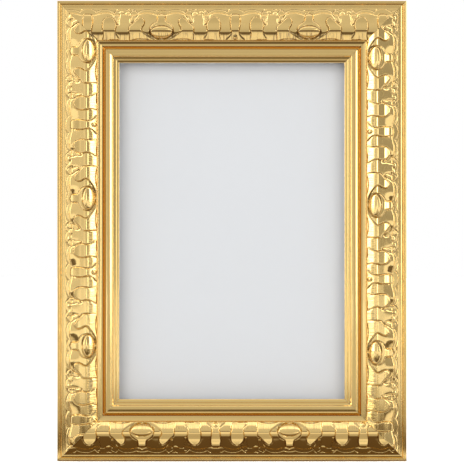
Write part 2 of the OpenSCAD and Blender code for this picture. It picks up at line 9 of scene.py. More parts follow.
import bmesh
import bpy
import numpy as np
from bpy.props import FloatProperty, FloatVectorProperty, IntProperty, PointerProperty
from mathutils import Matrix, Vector


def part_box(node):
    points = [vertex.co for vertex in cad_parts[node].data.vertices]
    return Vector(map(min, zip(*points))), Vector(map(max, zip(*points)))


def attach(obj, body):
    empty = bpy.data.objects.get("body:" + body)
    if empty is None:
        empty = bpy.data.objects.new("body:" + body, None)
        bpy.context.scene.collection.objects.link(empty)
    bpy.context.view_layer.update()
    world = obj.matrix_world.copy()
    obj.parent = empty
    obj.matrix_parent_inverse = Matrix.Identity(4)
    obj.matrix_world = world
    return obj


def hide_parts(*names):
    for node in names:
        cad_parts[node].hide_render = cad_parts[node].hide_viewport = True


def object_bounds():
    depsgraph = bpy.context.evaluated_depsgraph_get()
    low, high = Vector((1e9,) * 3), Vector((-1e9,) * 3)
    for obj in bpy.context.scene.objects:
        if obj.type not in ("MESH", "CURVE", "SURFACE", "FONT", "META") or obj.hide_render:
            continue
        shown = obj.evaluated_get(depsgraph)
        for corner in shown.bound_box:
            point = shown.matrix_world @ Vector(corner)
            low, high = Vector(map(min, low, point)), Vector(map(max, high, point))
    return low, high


bl_info = {
    "name": "Gilt picture frame",
    "version": (1, 0, 0),
    "blender": (4, 5, 0),
    "location": "View3D > Sidebar > Picture frame",
    "description": "Builds a gilt picture frame with embossed leaves round a packed model",
    "category": "Object",
}

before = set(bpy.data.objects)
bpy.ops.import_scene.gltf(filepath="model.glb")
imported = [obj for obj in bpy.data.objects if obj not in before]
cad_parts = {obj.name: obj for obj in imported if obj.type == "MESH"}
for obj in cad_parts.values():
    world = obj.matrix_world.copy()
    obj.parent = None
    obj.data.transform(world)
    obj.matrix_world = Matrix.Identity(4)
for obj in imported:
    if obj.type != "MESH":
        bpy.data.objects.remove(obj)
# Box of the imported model
LOW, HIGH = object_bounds()

MM = 0.001
RAIL_LOW, RAIL_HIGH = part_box("rail_bottom")
FRAME_WIDTH = (RAIL_HIGH.x - RAIL_LOW.x) / MM
FRAME_HEIGHT = (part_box("rail_left")[1].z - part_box("rail_left")[0].z) / MM
BACK_Y = RAIL_HIGH.y / MM
MIDDLE_Z = FRAME_HEIGHT / 2
MOULDING_WIDTH = round((RAIL_HIGH.z - RAIL_LOW.z) / MM, 3)
FRONT_REACH = round(BACK_Y - LOW.y / MM, 3)
REBATE_WIDTH = 5.0
REBATE_DEPTH = 5.0
REBATE_IN = MOULDING_WIDTH - REBATE_WIDTH
# Length of one repeat of the ornament
REPEAT = 53.0
# Points that lie closer than this, in metres, are one point
DOUBLED = 1e-7

# Rails: quarter turn of the drawing, half the frame's span, the rail's length, place of one oval
RAILS = {
    "bottom": (0, FRAME_HEIGHT / 2, FRAME_WIDTH, 20.7),
    "left": (90, FRAME_WIDTH / 2, FRAME_HEIGHT, -11.7),
    "top": (180, FRAME_HEIGHT / 2, FRAME_WIDTH, 25.3),
    "right": (-90, FRAME_WIDTH / 2, FRAME_HEIGHT, 9.2),
}
# Axis across each rail, its sign, and the place of the frame's outer side on it
FOIL_AXES = {
    "bottom": (2, 1, 0.0),
    "left": (0, 1, FRAME_WIDTH / 2),
    "top": (2, -1, FRAME_HEIGHT),
    "right": (0, -1, FRAME_WIDTH / 2),
}
# Share of the umber patina that shows on each rail. How much it differs between rails is painted shade:
# darkest on the top rail, lightest on the bottom one
PATINA_AND_SHADE_SHARE = {"bottom": 0.4, "left": 0.5, "top": 0.95, "right": 0.7}
# Places inwards between which the fine lines on the crest's inner fall begin and end
LINES_BEGIN = (10.9, 11.9)
LINES_END = (14.2, 14.6)

# Section of the crest between the leaves: inwards, height
GROUND = [(2.9, 11.9), (3.6, 12.1), (4.3, 12.34), (4.9, 12.58), (5.05, 12.68), (5.2, 12.98),
          (5.38, 13.2), (6.0, 13.62), (7.0, 14.34), (8.0, 15.06), (8.7, 15.56), (9.2, 15.91),
          (9.7, 16.2), (10.2, 16.4), (10.8, 16.52), (11.3, 16.5), (11.8, 16.32), (12.2, 16.08),
          (12.6, 15.79), (13.1, 15.38), (13.6, 14.94), (14.1, 14.48), (14.38, 14.22), (14.46, 13.9),
          (14.52, 12.95), (14.7, 12.7), (15.2, 12.4), (15.7, 12.3), (16.4, 12.28)]
# Section of what runs over the crest, for each kind of leaf
OVER_CREST = [(7.0, 16.25), (8.0, 16.33), (8.5, 16.49), (9.0, 16.76), (9.5, 17.06), (9.9, 17.29),
              (10.25, 17.45), (10.6, 17.52), (10.95, 17.44), (11.3, 17.22), (11.7, 16.9),
              (12.2, 16.48), (12.8, 15.96), (13.4, 15.44), (14.0, 14.93), (14.36, 14.62),
              (14.44, 14.3), (14.52, 13.1), (14.8, 12.66), (15.4, 12.4), (16.4, 12.3)]
# Section over the raised leaves, with their tips flattened towards the front
LEAF = [(4.6, 16.12), (5.4, 16.18), (6.2, 16.22), *OVER_CREST]
# Section over the stem and the flared leaf, which run down to the rim
RAMP = [(4.4, 14.4), (4.8, 14.95), (5.2, 15.45), (5.6, 15.83), (6.0, 16.04), (6.4, 16.16),
        *OVER_CREST]
# Section over the rim between the scallops and the foot of the crest
RIM = [(2.9, 12.12), (3.6, 12.38), (4.2, 12.6), (4.7, 12.76), (5.05, 12.84), (5.4, 12.84),
       (16.4, 12.84)]

# One outline step in millimetres, and half a repeat in outline steps
OUTLINE_STEP = 0.36
HALF_REPEAT = 73.6
# Outlines of the leaves over half a repeat, in outline steps: along from the oval's middle, and
# inwards from the outer side
HOOK = [(-3, 40.8), (4, 40.7), (10, 40.2), (16, 39.2), (22, 38.9), (28, 39.6), (31.6, 40.2),
        (32.2, 36), (32.1, 30), (31.8, 26), (30.2, 24.6), (27, 21.8), (23.7, 18.8), (21.3, 17.2),
        (19.1, 17.6), (17.5, 19.4), (17.1, 22), (18, 24.6), (19.6, 27.4), (19.8, 29.8),
        (18.2, 31.9), (15, 34.2), (11.5, 36.4), (7, 38.4), (3, 39.1), (-3, 39.2)]
TONGUE = [(42.2, 39), (44, 35.6), (45.6, 32.8), (46, 29), (45.2, 25.8), (45.5, 23), (46.6, 20.4),
          (49, 17.8), (52, 16.7), (55.4, 17.4), (57.8, 20), (58.8, 23.6), (58.7, 28), (58, 32),
          (58, 36), (58.8, 39.6), (55, 40.4), (50, 39.6), (45, 39.8)]
FLARE = [(64.2, 39.6), (67.6, 36.2), (69.8, 33), (69.6, 29), (69, 25), (68.8, 21), (69, 18.4),
         (69.2, 16.4), (69.6, 15), (70.6, 14.1), (73.6, 13.9), (77, 13.9), (77, 41.5),
         (73.6, 40.6), (69, 40.4)]
GOBLET = [(-3, 38.5), (3, 38.3), (7.4, 36.8), (10.4, 34.2), (11.6, 31), (11.4, 28), (10.4, 25.4),
          (7.6, 23), (5, 21.6), (4, 20.4), (3.8, 18.8), (3.7, 17), (3.6, 15.6), (3.3, 14.5),
          (2, 14), (-3, 13.9)]
LEFT_ARM = [(23.6, 13.6), (26, 17.2), (27.8, 20.4), (29.2, 22.2), (30.8, 21.9), (31.3, 20.2),
            (31, 18.2), (30.1, 16.4), (29.6, 14.6), (30.4, 12.2), (28, 10.2), (25, 11.4)]
RIGHT_ARM = [(43, 24.6), (42.4, 22.4), (42.8, 19.4), (42.2, 17), (41.8, 14.6), (43, 11.6),
             (46, 11.4), (47.6, 13.6), (47.4, 16.4), (46, 19), (45, 21.6), (44.4, 24)]
# Mounds: along and inwards in outline steps, half length and half width in steps, height
MOUNDS = [(33.4, 13.4, 2.9, 2, 0.4), (40, 12.4, 2.7, 1.9, 0.4)]
# Scallops of the rim: start, end, and the places across of their lowest point and their ends
SCALLOPS = [(-6, 6, 10.2, 11.4, 11.4), (6, 24, 9.4, 11.4, 13.6), (24, 33.4, 8.9, 13.6, 10.4),
            (33.4, 47, 8.5, 10.4, 13.6), (47, 65.4, 9.4, 13.6, 12), (65.4, 81.8, 8.4, 12, 12)]
# Height of the two small arms over the ground, and rounding of each leaf's edge
ARM_RISE = 0.42
LEAVES = ((LEFT_ARM, None, 0.3), (RIGHT_ARM, None, 0.3), (TONGUE, LEAF, 0.36), (FLARE, RAMP, 0.32),
          (GOBLET, RAMP, 0.32), (HOOK, LEAF, 0.36))
# Oval over the middle: place inwards, half length and half width in outline steps, height
OVAL = (32.2, 11, 6.3, 0.42)
# Pearl at half a repeat: place inwards and radius in outline steps, height
PEARL = (37.4, 2.2, 0.4)
# Groove round the oval: depth, and its middle and half width as shares of the oval
OVAL_GROOVE = (0.36, 1.04, 0.13)
OVAL_PATINA = 0.8
# Depth of the fine lines sunk along the outlines
OUTLINE_SINK = 0.14
# These lines and their patina: strength, place outside the outline and half width
RIM_LINE = (0.8, 0.1, 0.12)
RIM_PATINA = (0.7, 0.08, 0.13)
LEAF_LINE = (1, 0.1, 0.11)
LEAF_PATINA = (1, 0.02, 0.11)
# A leaf keeps no patina further inside its outline than this
PATINA_REACH = 0.15
# Height of the hollows' ground over the crest, rounding of the rim, and roundness of edges and scallops
GROUND_RISE = 0.1
RIM_ROUNDING = 0.2
EDGE_ROUND_SHARE = 0.85
SCALLOP_ROUND = 0.92
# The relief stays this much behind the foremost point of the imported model
FRONT_SPARE = 0.02

# Upper edge of the hollows between the leaves, where the crest rises, in outline steps: along, inwards
HOLLOW_EDGE = [(-4, 14.6), (3, 14.6), (6, 13.9), (10, 12.8), (14, 12.4), (19, 12.7), (23, 13.6),
               (26, 14.4), (29, 14.6), (31.5, 14.4), (34, 13.9), (40, 13.9), (42.5, 14.4), (45, 14.6),
               (47.5, 14.1), (51, 12.9), (55, 12.3), (60, 12.7), (64, 13.6), (67, 14.4), (70, 14.6),
               (80, 14.6)]
# Place inwards of that edge on the plain crest
HOLLOW_REST = 5.14
# Places across where the arches' pull and the sunk lines begin and end, with the widths they take
HOLLOW_BEGINS = (2.95, 1.4)
HOLLOW_ENDS = (8.4, -2.8)
INLAND_BEGINS = (2.95, 0.2)
INLAND_ENDS = (14.1, -0.4)
# Grid of the relief: places across from and to, and spacing
RELIEF_SPAN = (2.6, 16.6)
RELIEF_STEP = 0.09

# Stretches of a layer's points across: start, end, spacing as a share of the step
LAYER_STRETCHES = [(2.95, 5.5, 0.85), (5.5, 8.6, 1.3), (8.6, 12.0, 1.2), (12.0, 14.1, 1.6),
                   (14.1, 14.85, 0.7)]
# A layer's shell is this much shorter than its rail at each end, before the mitres cut it
LAYER_SHORT = 2.0
# Heights of a layer's outer and inner edge, in front and under it
LAYER_EDGES = (11.7, 12.2)
LAYER_EDGES_UNDER = (11.4, 11.8)
# Under a layer, the crest between these places is this much lower
LAYER_UNDER = (3.2, 14.7)
LAYER_THICKNESS = 0.4

# Stretches of the moulding's section in front, outside and inside the crest: inwards, height
STRIP = [(0, 11.42), (0.03, 11.62), (0.1, 11.73), (0.2, 11.765), (0.4, 11.772), (0.6, 11.772),
         (0.75, 11.765), (0.85, 11.73), (0.92, 11.65), (0.98, 11.5)]
COVE = [(1.04, 11.3), (1.2, 11.3), (1.35, 11.4), (1.5, 11.55), (1.65, 11.67), (1.8, 11.72),
        (2.0, 11.735), (2.2, 11.73), (2.3, 11.7)]
LEDGE = [(2.34, 11.66), (2.5, 11.76), (2.9, 11.9), (3.6, 12.1)]
FLOOR = [(14.6, 12.8), (14.9, 12.62), (15.2, 12.49), (15.5, 12.38), (15.75, 12.31), (16.0, 12.29),
         (16.4, 12.28)]
GROOVE = [(16.48, 12.1), (16.6, 11.2), (16.85, 9.9), (17.02, 9.6), (17.2, 10.2), (17.42, 11.8),
          (17.5, 12.9)]
BEAD = [(17.6, 13.08), (17.85, 13.15), (18.4, 13.19), (18.9, 13.2), (19.1, 13.19), (19.3, 13.165),
        (19.5, 13.14), (19.68, 13.11), (19.8, 13.04), (19.95, 12.89), (20.06, 12.68),
        (20.12, 12.3), (20.2, 12.03), (20.4, 11.88), (20.6, 11.75), (20.8, 11.62)]
LIP = [(20.92, 11.54), (21.02, 11.55), (21.15, 11.61), (21.3, 11.63), (21.48, 11.61),
       (21.62, 11.54), (21.8, 11.42), (22.0, 11.3), (22.2, 11.17), (22.33, 10.95), (22.4, 10.2)]
# Rebate, back and outer side, whose corners are slightly broken
BACK = [(MOULDING_WIDTH, REBATE_DEPTH + 0.4), (MOULDING_WIDTH - 0.4, REBATE_DEPTH),
        (REBATE_IN, REBATE_DEPTH), (REBATE_IN, 0.2), (REBATE_IN - 0.2, 0), (0.3, 0), (0, 0.3)]
# The stretches with the points that are set between two of their knots
OUTSIDE_CREST = [(STRIP, 4), (COVE, 4), (LEDGE, 3)]
INSIDE_CREST = [(FLOOR, 5), (GROOVE, 4), (BEAD, 5), (LIP, 4)]
# Under the layer, the moulding's own crest runs between these places, this much lower
CREST_SPAN = (3.65, 14.4)
CREST_SINK = 0.62

# Painted reflection of the floor in front, a glowing sheet that only the gold sees, with painted shadow at
# the frame's foot and painted light of the lit floor: the nearest distance in metres, the furthest as a
# multiple of it, and the colours between them
CARD_START = 0.0003
CARD_REACH = 14000.0
PAINTED_REFLECTION_STOPS = [(0.0003, (1.0, 0.97, 0.92)), (0.0018, (0.9, 0.87, 0.82)), (0.0025, (0.09, 0.055, 0.025)),
              (0.0122, (0.13, 0.085, 0.045)), (0.0142, (0.55, 0.52, 0.47)), (0.02, (0.62, 0.59, 0.55)),
              (0.026, (1.1, 1.07, 1.03)), (0.05, (0.9, 0.88, 0.85)),
              (0.075, (0.16, 0.13, 0.1)), (0.2, (0.16, 0.13, 0.1)), (0.32, (0.5, 0.49, 0.47)),
              (0.9, (0.65, 0.65, 0.65))]
# Directions by X between which the room's light goes from left to right, directions by X either way
# between which it goes from overhead to the wings, and a soft box's soft edge as shares of its size
ROOM_SPAN = (-0.8, 0.8)
WINGS_SPAN = (0.05, 0.7)
BOX_EDGE = (0.6, 1.4)
# Directions by Y where the light from beside the frame and the white backdrop begin
WINGS_BEGIN = (-0.225, -0.185)
BACKDROP_BEGINS = (-0.09, -0.04)
# Lamps: name, place in metres, power
LAMPS = (("key_lamp", (-0.7, -2.6, 0.85), 29), ("fill_lamp", (0.7, -2.6, 0.45), 23))
LAMP_SIZE = 1.4
LAMP_AIM = (0, 0, 0.08)
# Floor's colour, its glow where it is seen, and the share of that glow in the gold
FLOOR_COLOR = (0.8, 0.8, 0.8)
FLOOR_LIFT = 0.45
MIRRORED_SHARE = 0.3
# Camera: distance in metres to a plane this far behind the foremost point, width shown there in
# millimetres, and shift in pixels of the photograph's frame
CAMERA_DISTANCE = 1.55
FOCUS_IN = 0.006
SHOWN = 167.0
CAMERA_SHIFT = (0.1, -1.0)
IMAGE_SIZE = 464


def at_side(points, turn, half_span):
    """Turns points drawn along the bottom to their own side of the frame, in metres."""
    along, inward, forward = points.T
    a = math.radians(turn)
    across = inward - half_span
    x = along * math.cos(a) + across * math.sin(a)
    z = -along * math.sin(a) + across * math.cos(a)
    return np.column_stack([x, BACK_Y - forward, z + MIDDLE_Z]) * MM


def curve_through(p, steps):
    """Stretches of a smooth curve from the second knot to the last but one."""
    t = np.linspace(0, 1, steps, endpoint=False)[:, None]
    return [0.5 * (2 * b + (c - a) * t + (2 * a - 5 * b + 4 * c - d) * t ** 2
                   + (3 * b - a - 3 * c + d) * t ** 3)
            for a, b, c, d in zip(p[:-3], p[1:-2], p[2:-1], p[3:])]


def smooth_curve(knots, steps=12):
    """Points of a smooth open curve through the knots."""
    p = np.asarray(knots, float)
    p = np.vstack([2 * p[0] - p[1], p, 2 * p[-1] - p[-2]])
    return np.vstack(curve_through(p, steps) + [p[-2]])


def smooth_loop(knots, steps=10):
    """Points of a smooth closed curve through the knots."""
    p = np.asarray(knots, float)
    return np.vstack(curve_through(np.vstack([p[-1], p, p[0], p[1]]), steps))


def signed_distance(x, y, loop):
    """Distance of grid points to a closed outline, negative inside it."""
    best = np.full(x.shape, 1e9)
    inside = np.zeros(x.shape, bool)
    for (ax, ay), (bx, by) in zip(loop, np.roll(loop, -1, axis=0)):
        dx, dy = bx - ax, by - ay
        t = np.clip(((x - ax) * dx + (y - ay) * dy) / (dx * dx + dy * dy + 1e-12), 0, 1)
        best = np.minimum(best, (x - ax - t * dx) ** 2 + (y - ay - t * dy) ** 2)
        crosses = (ay > y) != (by > y)
        if ay != by:
            inside ^= crosses & (x < ax + (y - ay) * dx / dy)
    d = np.sqrt(best)
    return np.where(inside, -d, d)


def rounded(d, radius, top, ground):
    """Heights of a raised shape with a rounded edge, at distances d outside its outline."""
    t = np.clip(-d / radius, 0, 1)
    edge = top - EDGE_ROUND_SHARE * radius * (1 - np.sqrt(1 - (1 - t) ** 2))
    return np.where(d < 0, np.maximum(edge, ground), ground)


def line(d, strength, out, half_width):
    """Strength of a soft line along an outline, at distances d outside it."""
    return strength * np.exp(-((d - out) / half_width) ** 2)


def dome(*shares):
    """Share of its height that a dome has at places given as shares of its half sizes."""
    return np.sqrt(np.clip(1 - sum(share ** 2 for share in shares), 0, 1))


def section(knots, v):
    """Height of a section at each place across."""
    curve = smooth_curve(knots)
    return np.interp(v, curve[:, 0], curve[:, 1])


def scallop_edge(u):
    """Place across of the scalloped edge at each place along, both in outline steps."""
    edge = np.zeros(u.shape)
    depth = 1 - math.sqrt(1 - SCALLOP_ROUND)
    for start, end, low, left, right in SCALLOPS:
        here = (u >= start) & (u <= end)
        s = (u[here] - start) / (end - start) * 2 - 1
        side = np.where(s < 0, left, right)
        edge[here] = low + (side - low) * (1 - np.sqrt(np.clip(1 - SCALLOP_ROUND * s * s, 0, 1))) / depth
    return edge


class Relief:
    """Heights and patina of half a repeat of the ornament on a fine grid, from an oval's middle.

    u and v are places along and across in millimetres, pu and pv the same in outline steps.
    """

    def __init__(self):
        self.along = np.arange(0, REPEAT / 2 + 2 * RELIEF_STEP, RELIEF_STEP)
        self.across = np.arange(*RELIEF_SPAN, RELIEF_STEP)
        self.u, self.v = np.meshgrid(self.along, self.across)
        self.pu, self.pv = self.u / OUTLINE_STEP, self.v / OUTLINE_STEP
        self.ground = self.hollowed_ground()
        self.height = self.ground.copy()
        self.raise_rim()
        self.raise_mounds()
        self.raise_leaves()
        inland = self.ramp(*INLAND_BEGINS) * self.ramp(*INLAND_ENDS)
        self.height -= OUTLINE_SINK * self.sunk * inland
        self.patina = self.lined * inland
        self.raise_oval_and_pearl()
        self.height = np.minimum(self.height, FRONT_REACH - FRONT_SPARE)
        self.patina = np.clip(self.patina, 0, 1)

    def ramp(self, start, width):
        """0 to 1 over a width from a place across, outwards where the width is negative."""
        return np.clip((self.v - start) / width, 0, 1)

    def hollowed_ground(self):
        """The crest between the leaves, whose foot swings out and in under the hollows' arches."""
        drop = HOLLOW_REST - section(HOLLOW_EDGE, self.pu) * OUTLINE_STEP
        return section(GROUND, self.v + drop * self.ramp(*HOLLOW_BEGINS) * self.ramp(*HOLLOW_ENDS))

    def raise_rim(self):
        """The rim up to its scalloped edge, with a fine sunk line along that edge."""
        edge = scallop_edge(np.clip(self.pu, 0, HALF_REPEAT)) * OUTLINE_STEP
        slope = np.gradient(edge, RELIEF_STEP, axis=1)
        d = (edge - self.v) / np.sqrt(1 + slope ** 2)
        rim = rounded(d, RIM_ROUNDING, section(RIM, self.v), self.ground)
        self.height = np.maximum(self.height, rim)
        self.sunk = line(d, *RIM_LINE)
        self.lined = line(d, *RIM_PATINA)

    def raise_mounds(self):
        """Small mounds between the two arms, on the hollows' slightly raised ground."""
        for along, across, half_length, half_width, rise in MOUNDS:
            mound = dome((self.pu - along) / half_length, (self.pv - across) / half_width)
            self.height = np.maximum(self.height, self.ground + GROUND_RISE + rise * mound)

    def raise_leaves(self):
        """Each leaf, with a fine sunk line round its outline that the patina follows."""
        for outline, knots, radius in LEAVES:
            d = signed_distance(self.u, self.v, smooth_loop(np.array(outline) * OUTLINE_STEP))
            top = self.ground + ARM_RISE if knots is None else section(knots, self.v)
            self.height = np.maximum(self.height, rounded(d, radius, top, self.ground))
            self.sunk = np.where(d < 0, 0, np.maximum(self.sunk, line(d, *LEAF_LINE)))
            lined = np.maximum(self.lined, line(d, *LEAF_PATINA))
            self.lined = np.where(d < -PATINA_REACH, 0, lined)

    def raise_oval_and_pearl(self):
        """The oval in its groove over the crest, and the pearl half a repeat away."""
        across, half_length, half_width, rise = OVAL
        oval = np.hypot(self.pu / half_length, (self.pv - across) / half_width)
        depth, middle, groove_half_width = OVAL_GROOVE
        near = np.clip(1 - np.abs(oval - middle) / groove_half_width, 0, 1)
        self.height -= depth * near * near * (3 - 2 * near)
        self.height += rise * dome(oval)
        self.patina = np.maximum(self.patina, OVAL_PATINA * near)
        across, radius, rise = PEARL
        self.height += rise * dome((self.pu - HALF_REPEAT) / radius, (self.pv - across) / radius)

    def at(self, u, v, values):
        """Values of the grid at places along, measured from an oval, and across."""
        u = np.abs((u + REPEAT / 2) % REPEAT - REPEAT / 2)
        i = np.clip(u / RELIEF_STEP, 0, len(self.along) - 1.001)
        j = np.clip((v - self.across[0]) / RELIEF_STEP, 0, len(self.across) - 1.001)
        i0, j0 = i.astype(int), j.astype(int)
        fi, fj = i - i0, j - j0
        return ((values[j0, i0] * (1 - fi) + values[j0, i0 + 1] * fi) * (1 - fj)
                + (values[j0 + 1, i0] * (1 - fi) + values[j0 + 1, i0 + 1] * fi) * fj)


def between(curve, ends):
    """The points of a curve whose places across lie between two others."""
    return curve[(curve[:, 0] > ends[0]) & (curve[:, 0] < ends[1])]


def moulding_section():
    """Closed section of a moulding: inwards, height."""
    outside = [smooth_curve(knots, steps) for knots, steps in OUTSIDE_CREST]
    crest = between(smooth_curve(GROUND, 6), CREST_SPAN) - [0, CREST_SINK]
    inside = [smooth_curve(knots, steps) for knots, steps in INSIDE_CREST]
    return np.vstack([*outside, crest, *inside, BACK])


def new_object(name, mesh):
    """New object with a mesh, in the scene."""
    piece = bpy.data.objects.new(name, mesh)
    bpy.context.scene.collection.objects.link(piece)
    return piece


def mesh_object(name, points, faces, material):
    """New object from points in metres and faces."""
    mesh = bpy.data.meshes.new(name)
    mesh.from_pydata([tuple(p) for p in points], [], faces)
    mesh.validate()
    mesh.materials.append(material)
    return new_object(name, mesh)


def face_outwards(bm):
    """Turns every face of a closed mesh outwards."""
    bmesh.ops.recalc_face_normals(bm, faces=bm.faces)
    if bm.calc_volume(signed=True) < 0:
        bmesh.ops.reverse_faces(bm, faces=bm.faces)


def outward(mesh):
    """Joins doubled points of a closed mesh and turns its faces outwards."""
    bm = bmesh.new()
    bm.from_mesh(mesh)
    bmesh.ops.remove_doubles(bm, verts=bm.verts, dist=DOUBLED)
    face_outwards(bm)
    bm.to_mesh(mesh)
    bm.free()


def smooth(mesh, sharp):
    """Shades a mesh smooth, with edges sharper than this angle in degrees kept."""
    mesh.shade_smooth()
    mesh.set_sharp_from_angle(angle=math.radians(sharp))


def build_moulding(side, gap, foil, wood):
    """One mitred moulding, with bare wood on its back, its rebate and its cut ends."""
    turn, half_span, length, _ = RAILS[side]
    profile = moulding_section()
    n = len(profile)
    rings = []
    for end in (-1, 1):
        along = end * (length / 2 - profile[:, 0] - gap)
        rings.append(np.column_stack([along, profile[:, 0], profile[:, 1]]))
    points = at_side(np.vstack(rings), turn, half_span)
    faces = [(i, (i + 1) % n, n + (i + 1) % n, n + i) for i in range(n)]
    faces += [tuple(range(n)), tuple(range(2 * n - 1, n - 1, -1))]
    piece = mesh_object("moulding_" + side, points, faces, foil)
    piece.data.materials.append(wood)
    # Bare wood: the rebate and the back, then the two cut ends
    for i in (*range(n - len(BACK) + 1, n - 1), n, n + 1):
        piece.data.polygons[i].material_index = 1
    outward(piece.data)
    smooth(piece.data, sharp=32)
    return piece


def layer_shell(length, place, relief, step):
    """Closed shell of one layer, square at its ends: points along, inwards and forwards, and faces."""
    v = np.concatenate([np.linspace(a, b, max(2, int(round((b - a) / (step * share)))), endpoint=False)
                        for a, b, share in LAYER_STRETCHES] + [[LAYER_STRETCHES[-1][1]]])
    half = length / 2 - LAYER_SHORT
    u = np.linspace(-half, half, int(round(2 * half / step)) + 1)
    uu, vv = np.meshgrid(u, v)
    top = relief.at(uu - place, vv, relief.height)
    top[0], top[-1] = LAYER_EDGES
    points = np.column_stack([uu.ravel(), vv.ravel(), top.ravel()])
    index = np.arange(top.size).reshape(top.shape)
    quads = np.stack([index[:-1, :-1], index[:-1, 1:], index[1:, 1:], index[1:, :-1]], -1).reshape(-1, 4)
    under = between(smooth_curve(GROUND, 3), LAYER_UNDER) - [0, LAYER_THICKNESS]
    under = np.vstack([[v[0], LAYER_EDGES_UNDER[0]], under, [v[-1], LAYER_EDGES_UNDER[1]]])
    low = [[end, p[0], p[1]] for end in (u[0], u[-1]) for p in under]
    m = len(under)
    a, b = len(points), len(points) + m
    # Front, underside, outer edge, inner edge and the two ends
    faces = [tuple(q) for q in quads.tolist()]
    faces += [(a + i, a + i + 1, b + i + 1, b + i) for i in range(m - 1)]
    faces.append(tuple([a, b] + index[0, ::-1].tolist()))
    faces.append(tuple([b + m - 1, a + m - 1] + index[-1, :].tolist()))
    faces.append(tuple(index[:, 0].tolist() + list(range(a + m - 1, a - 1, -1))))
    faces.append(tuple(index[::-1, -1].tolist() + list(range(b, b + m))))
    return np.vstack([points, low]), faces


def cut_mitres(mesh, length, gap):
    """Cuts both ends of a layer along the mitres and closes them."""
    bm = bmesh.new()
    bm.from_mesh(mesh)
    for end in (-1, 1):
        cut = bmesh.ops.bisect_plane(
            bm, geom=bm.verts[:] + bm.edges[:] + bm.faces[:], dist=1e-6,
            plane_co=(end * (length / 2 - gap), 0, 0), plane_no=(end, 1, 0), clear_outer=True)
        edges = [e for e in cut["geom_cut"] if isinstance(e, bmesh.types.BMEdge)]
        bmesh.ops.holes_fill(bm, edges=edges, sides=0)
    face_outwards(bm)
    bm.to_mesh(mesh)
    bm.free()


def build_ornament(side, relief, gap, step, material):
    """The embossed layer of one rail, cut at the mitres, with its patina as an attribute."""
    turn, half_span, length, place = RAILS[side]
    points, faces = layer_shell(length, place, relief, step)
    mesh = bpy.data.meshes.new("ornament_" + side)
    mesh.from_pydata(points.tolist(), [], faces)
    cut_mitres(mesh, length, gap)
    co = np.zeros(len(mesh.vertices) * 3)
    mesh.vertices.foreach_get("co", co)
    co = co.reshape(-1, 3)
    mesh.vertices.foreach_set("co", at_side(co, turn, half_span).ravel())
    mesh.update()
    patina = mesh.attributes.new("patina", "FLOAT", "POINT")
    patina.data.foreach_set("value", relief.at(co[:, 0] - place, co[:, 1], relief.patina))
    mesh.materials.append(material)
    piece = new_object("ornament_layer_" + side, mesh)
    smooth(mesh, sharp=60)
    return piece


class Nodes:
    """Short way to build a node tree. A value is another node's output, or a number or colour."""

    def __init__(self, tree):
        self.tree = tree
        tree.nodes.clear()

    def add(self, kind, sets=None):
        """New node with its properties and its free inputs set by name."""
        node = self.tree.nodes.new(kind)
        for name, value in (sets or {}).items():
            if hasattr(node, name):
                setattr(node, name, value)
            else:
                node.inputs[name].default_value = value
        return node

    def link(self, value, node, socket):
        """Links an output to a socket of a node, or sets the socket to a value."""
        if isinstance(value, bpy.types.NodeSocket):
            self.tree.links.new(value, node.inputs[socket])
        else:
            node.inputs[socket].default_value = value

    def math(self, operation, *values):
        """Result of a sum on one to three values."""
        node = self.add("ShaderNodeMath", {"operation": operation})
        for i, value in enumerate(values):
            self.link(value, node, i)
        return node.outputs[0]

    def ranged(self, value, start, end, first, last, easing="LINEAR"):
        """Value taken from a range onto another one."""
        node = self.add("ShaderNodeMapRange", {"From Min": start, "From Max": end, "To Min": first,
                                               "To Max": last, "interpolation_type": easing})
        self.link(value, node, "Value")
        return node.outputs[0]

    def mixed(self, share, first, second):
        """Mix of two numbers."""
        node = self.add("ShaderNodeMix", {"data_type": "FLOAT"})
        for socket, value in ((0, share), (2, first), (3, second)):
            self.link(value, node, socket)
        return node.outputs[0]

    def tinted(self, share, first, second):
        """Mix of two colours."""
        node = self.add("ShaderNodeMix", {"data_type": "RGBA"})
        for socket, value in ((0, share), (6, first), (7, second)):
            self.link(value, node, socket)
        return node.outputs[2]

    def place(self):
        """Place on the object, in metres."""
        return self.add("ShaderNodeTexCoord").outputs["Object"]

    def split(self, vector):
        """X, Y and Z of a vector."""
        node = self.add("ShaderNodeSeparateXYZ")
        self.link(vector, node, 0)
        return node.outputs

    def drawn_out(self, place, axis, across, along):
        """Place scaled for a pattern that is drawn out along an axis."""
        stretch = [across, across, across]
        stretch[axis] = along
        node = self.add("ShaderNodeMapping", {"Scale": stretch})
        self.link(place, node, "Vector")
        return node.outputs[0]

    def noise(self, place, scale, detail, roughness=0.5, distortion=0.0):
        """Cloudy pattern from 0 to 1."""
        node = self.add("ShaderNodeTexNoise", {"Scale": scale, "Detail": detail, "Roughness": roughness,
                                               "Distortion": distortion})
        self.link(place, node, "Vector")
        return node.outputs["Fac"]

    def bump(self, height, strength, distance):
        """Normal of a surface with a small height pattern."""
        node = self.add("ShaderNodeBump", {"Strength": strength, "Distance": distance})
        self.link(height, node, "Height")
        return node.outputs[0]

    def rays(self, *kinds):
        """1 for rays of any of these kinds, else 0."""
        path = self.add("ShaderNodeLightPath")
        found = path.outputs[kinds[0]]
        for kind in kinds[1:]:
            found = self.math("MAXIMUM", found, path.outputs[kind])
        return found

    def surface(self, color, roughness, normal, **sets):
        """Ends a material in a shader with these values, and others set by name."""
        names = {name.replace("_", " "): value for name, value in sets.items()}
        shader = self.add("ShaderNodeBsdfPrincipled", names)
        self.link(color, shader, "Base Color")
        self.link(roughness, shader, "Roughness")
        self.link(normal, shader, "Normal")
        self.finish(shader)

    def finish(self, shader, kind="ShaderNodeOutputMaterial"):
        """Links a shader to the tree's output."""
        self.link(shader.outputs[0], self.add(kind), "Surface")


def new_material(name):
    """Empty material and its node builder."""
    material = bpy.data.materials.new(name)
    material.use_nodes = True
    return material, Nodes(material.node_tree)


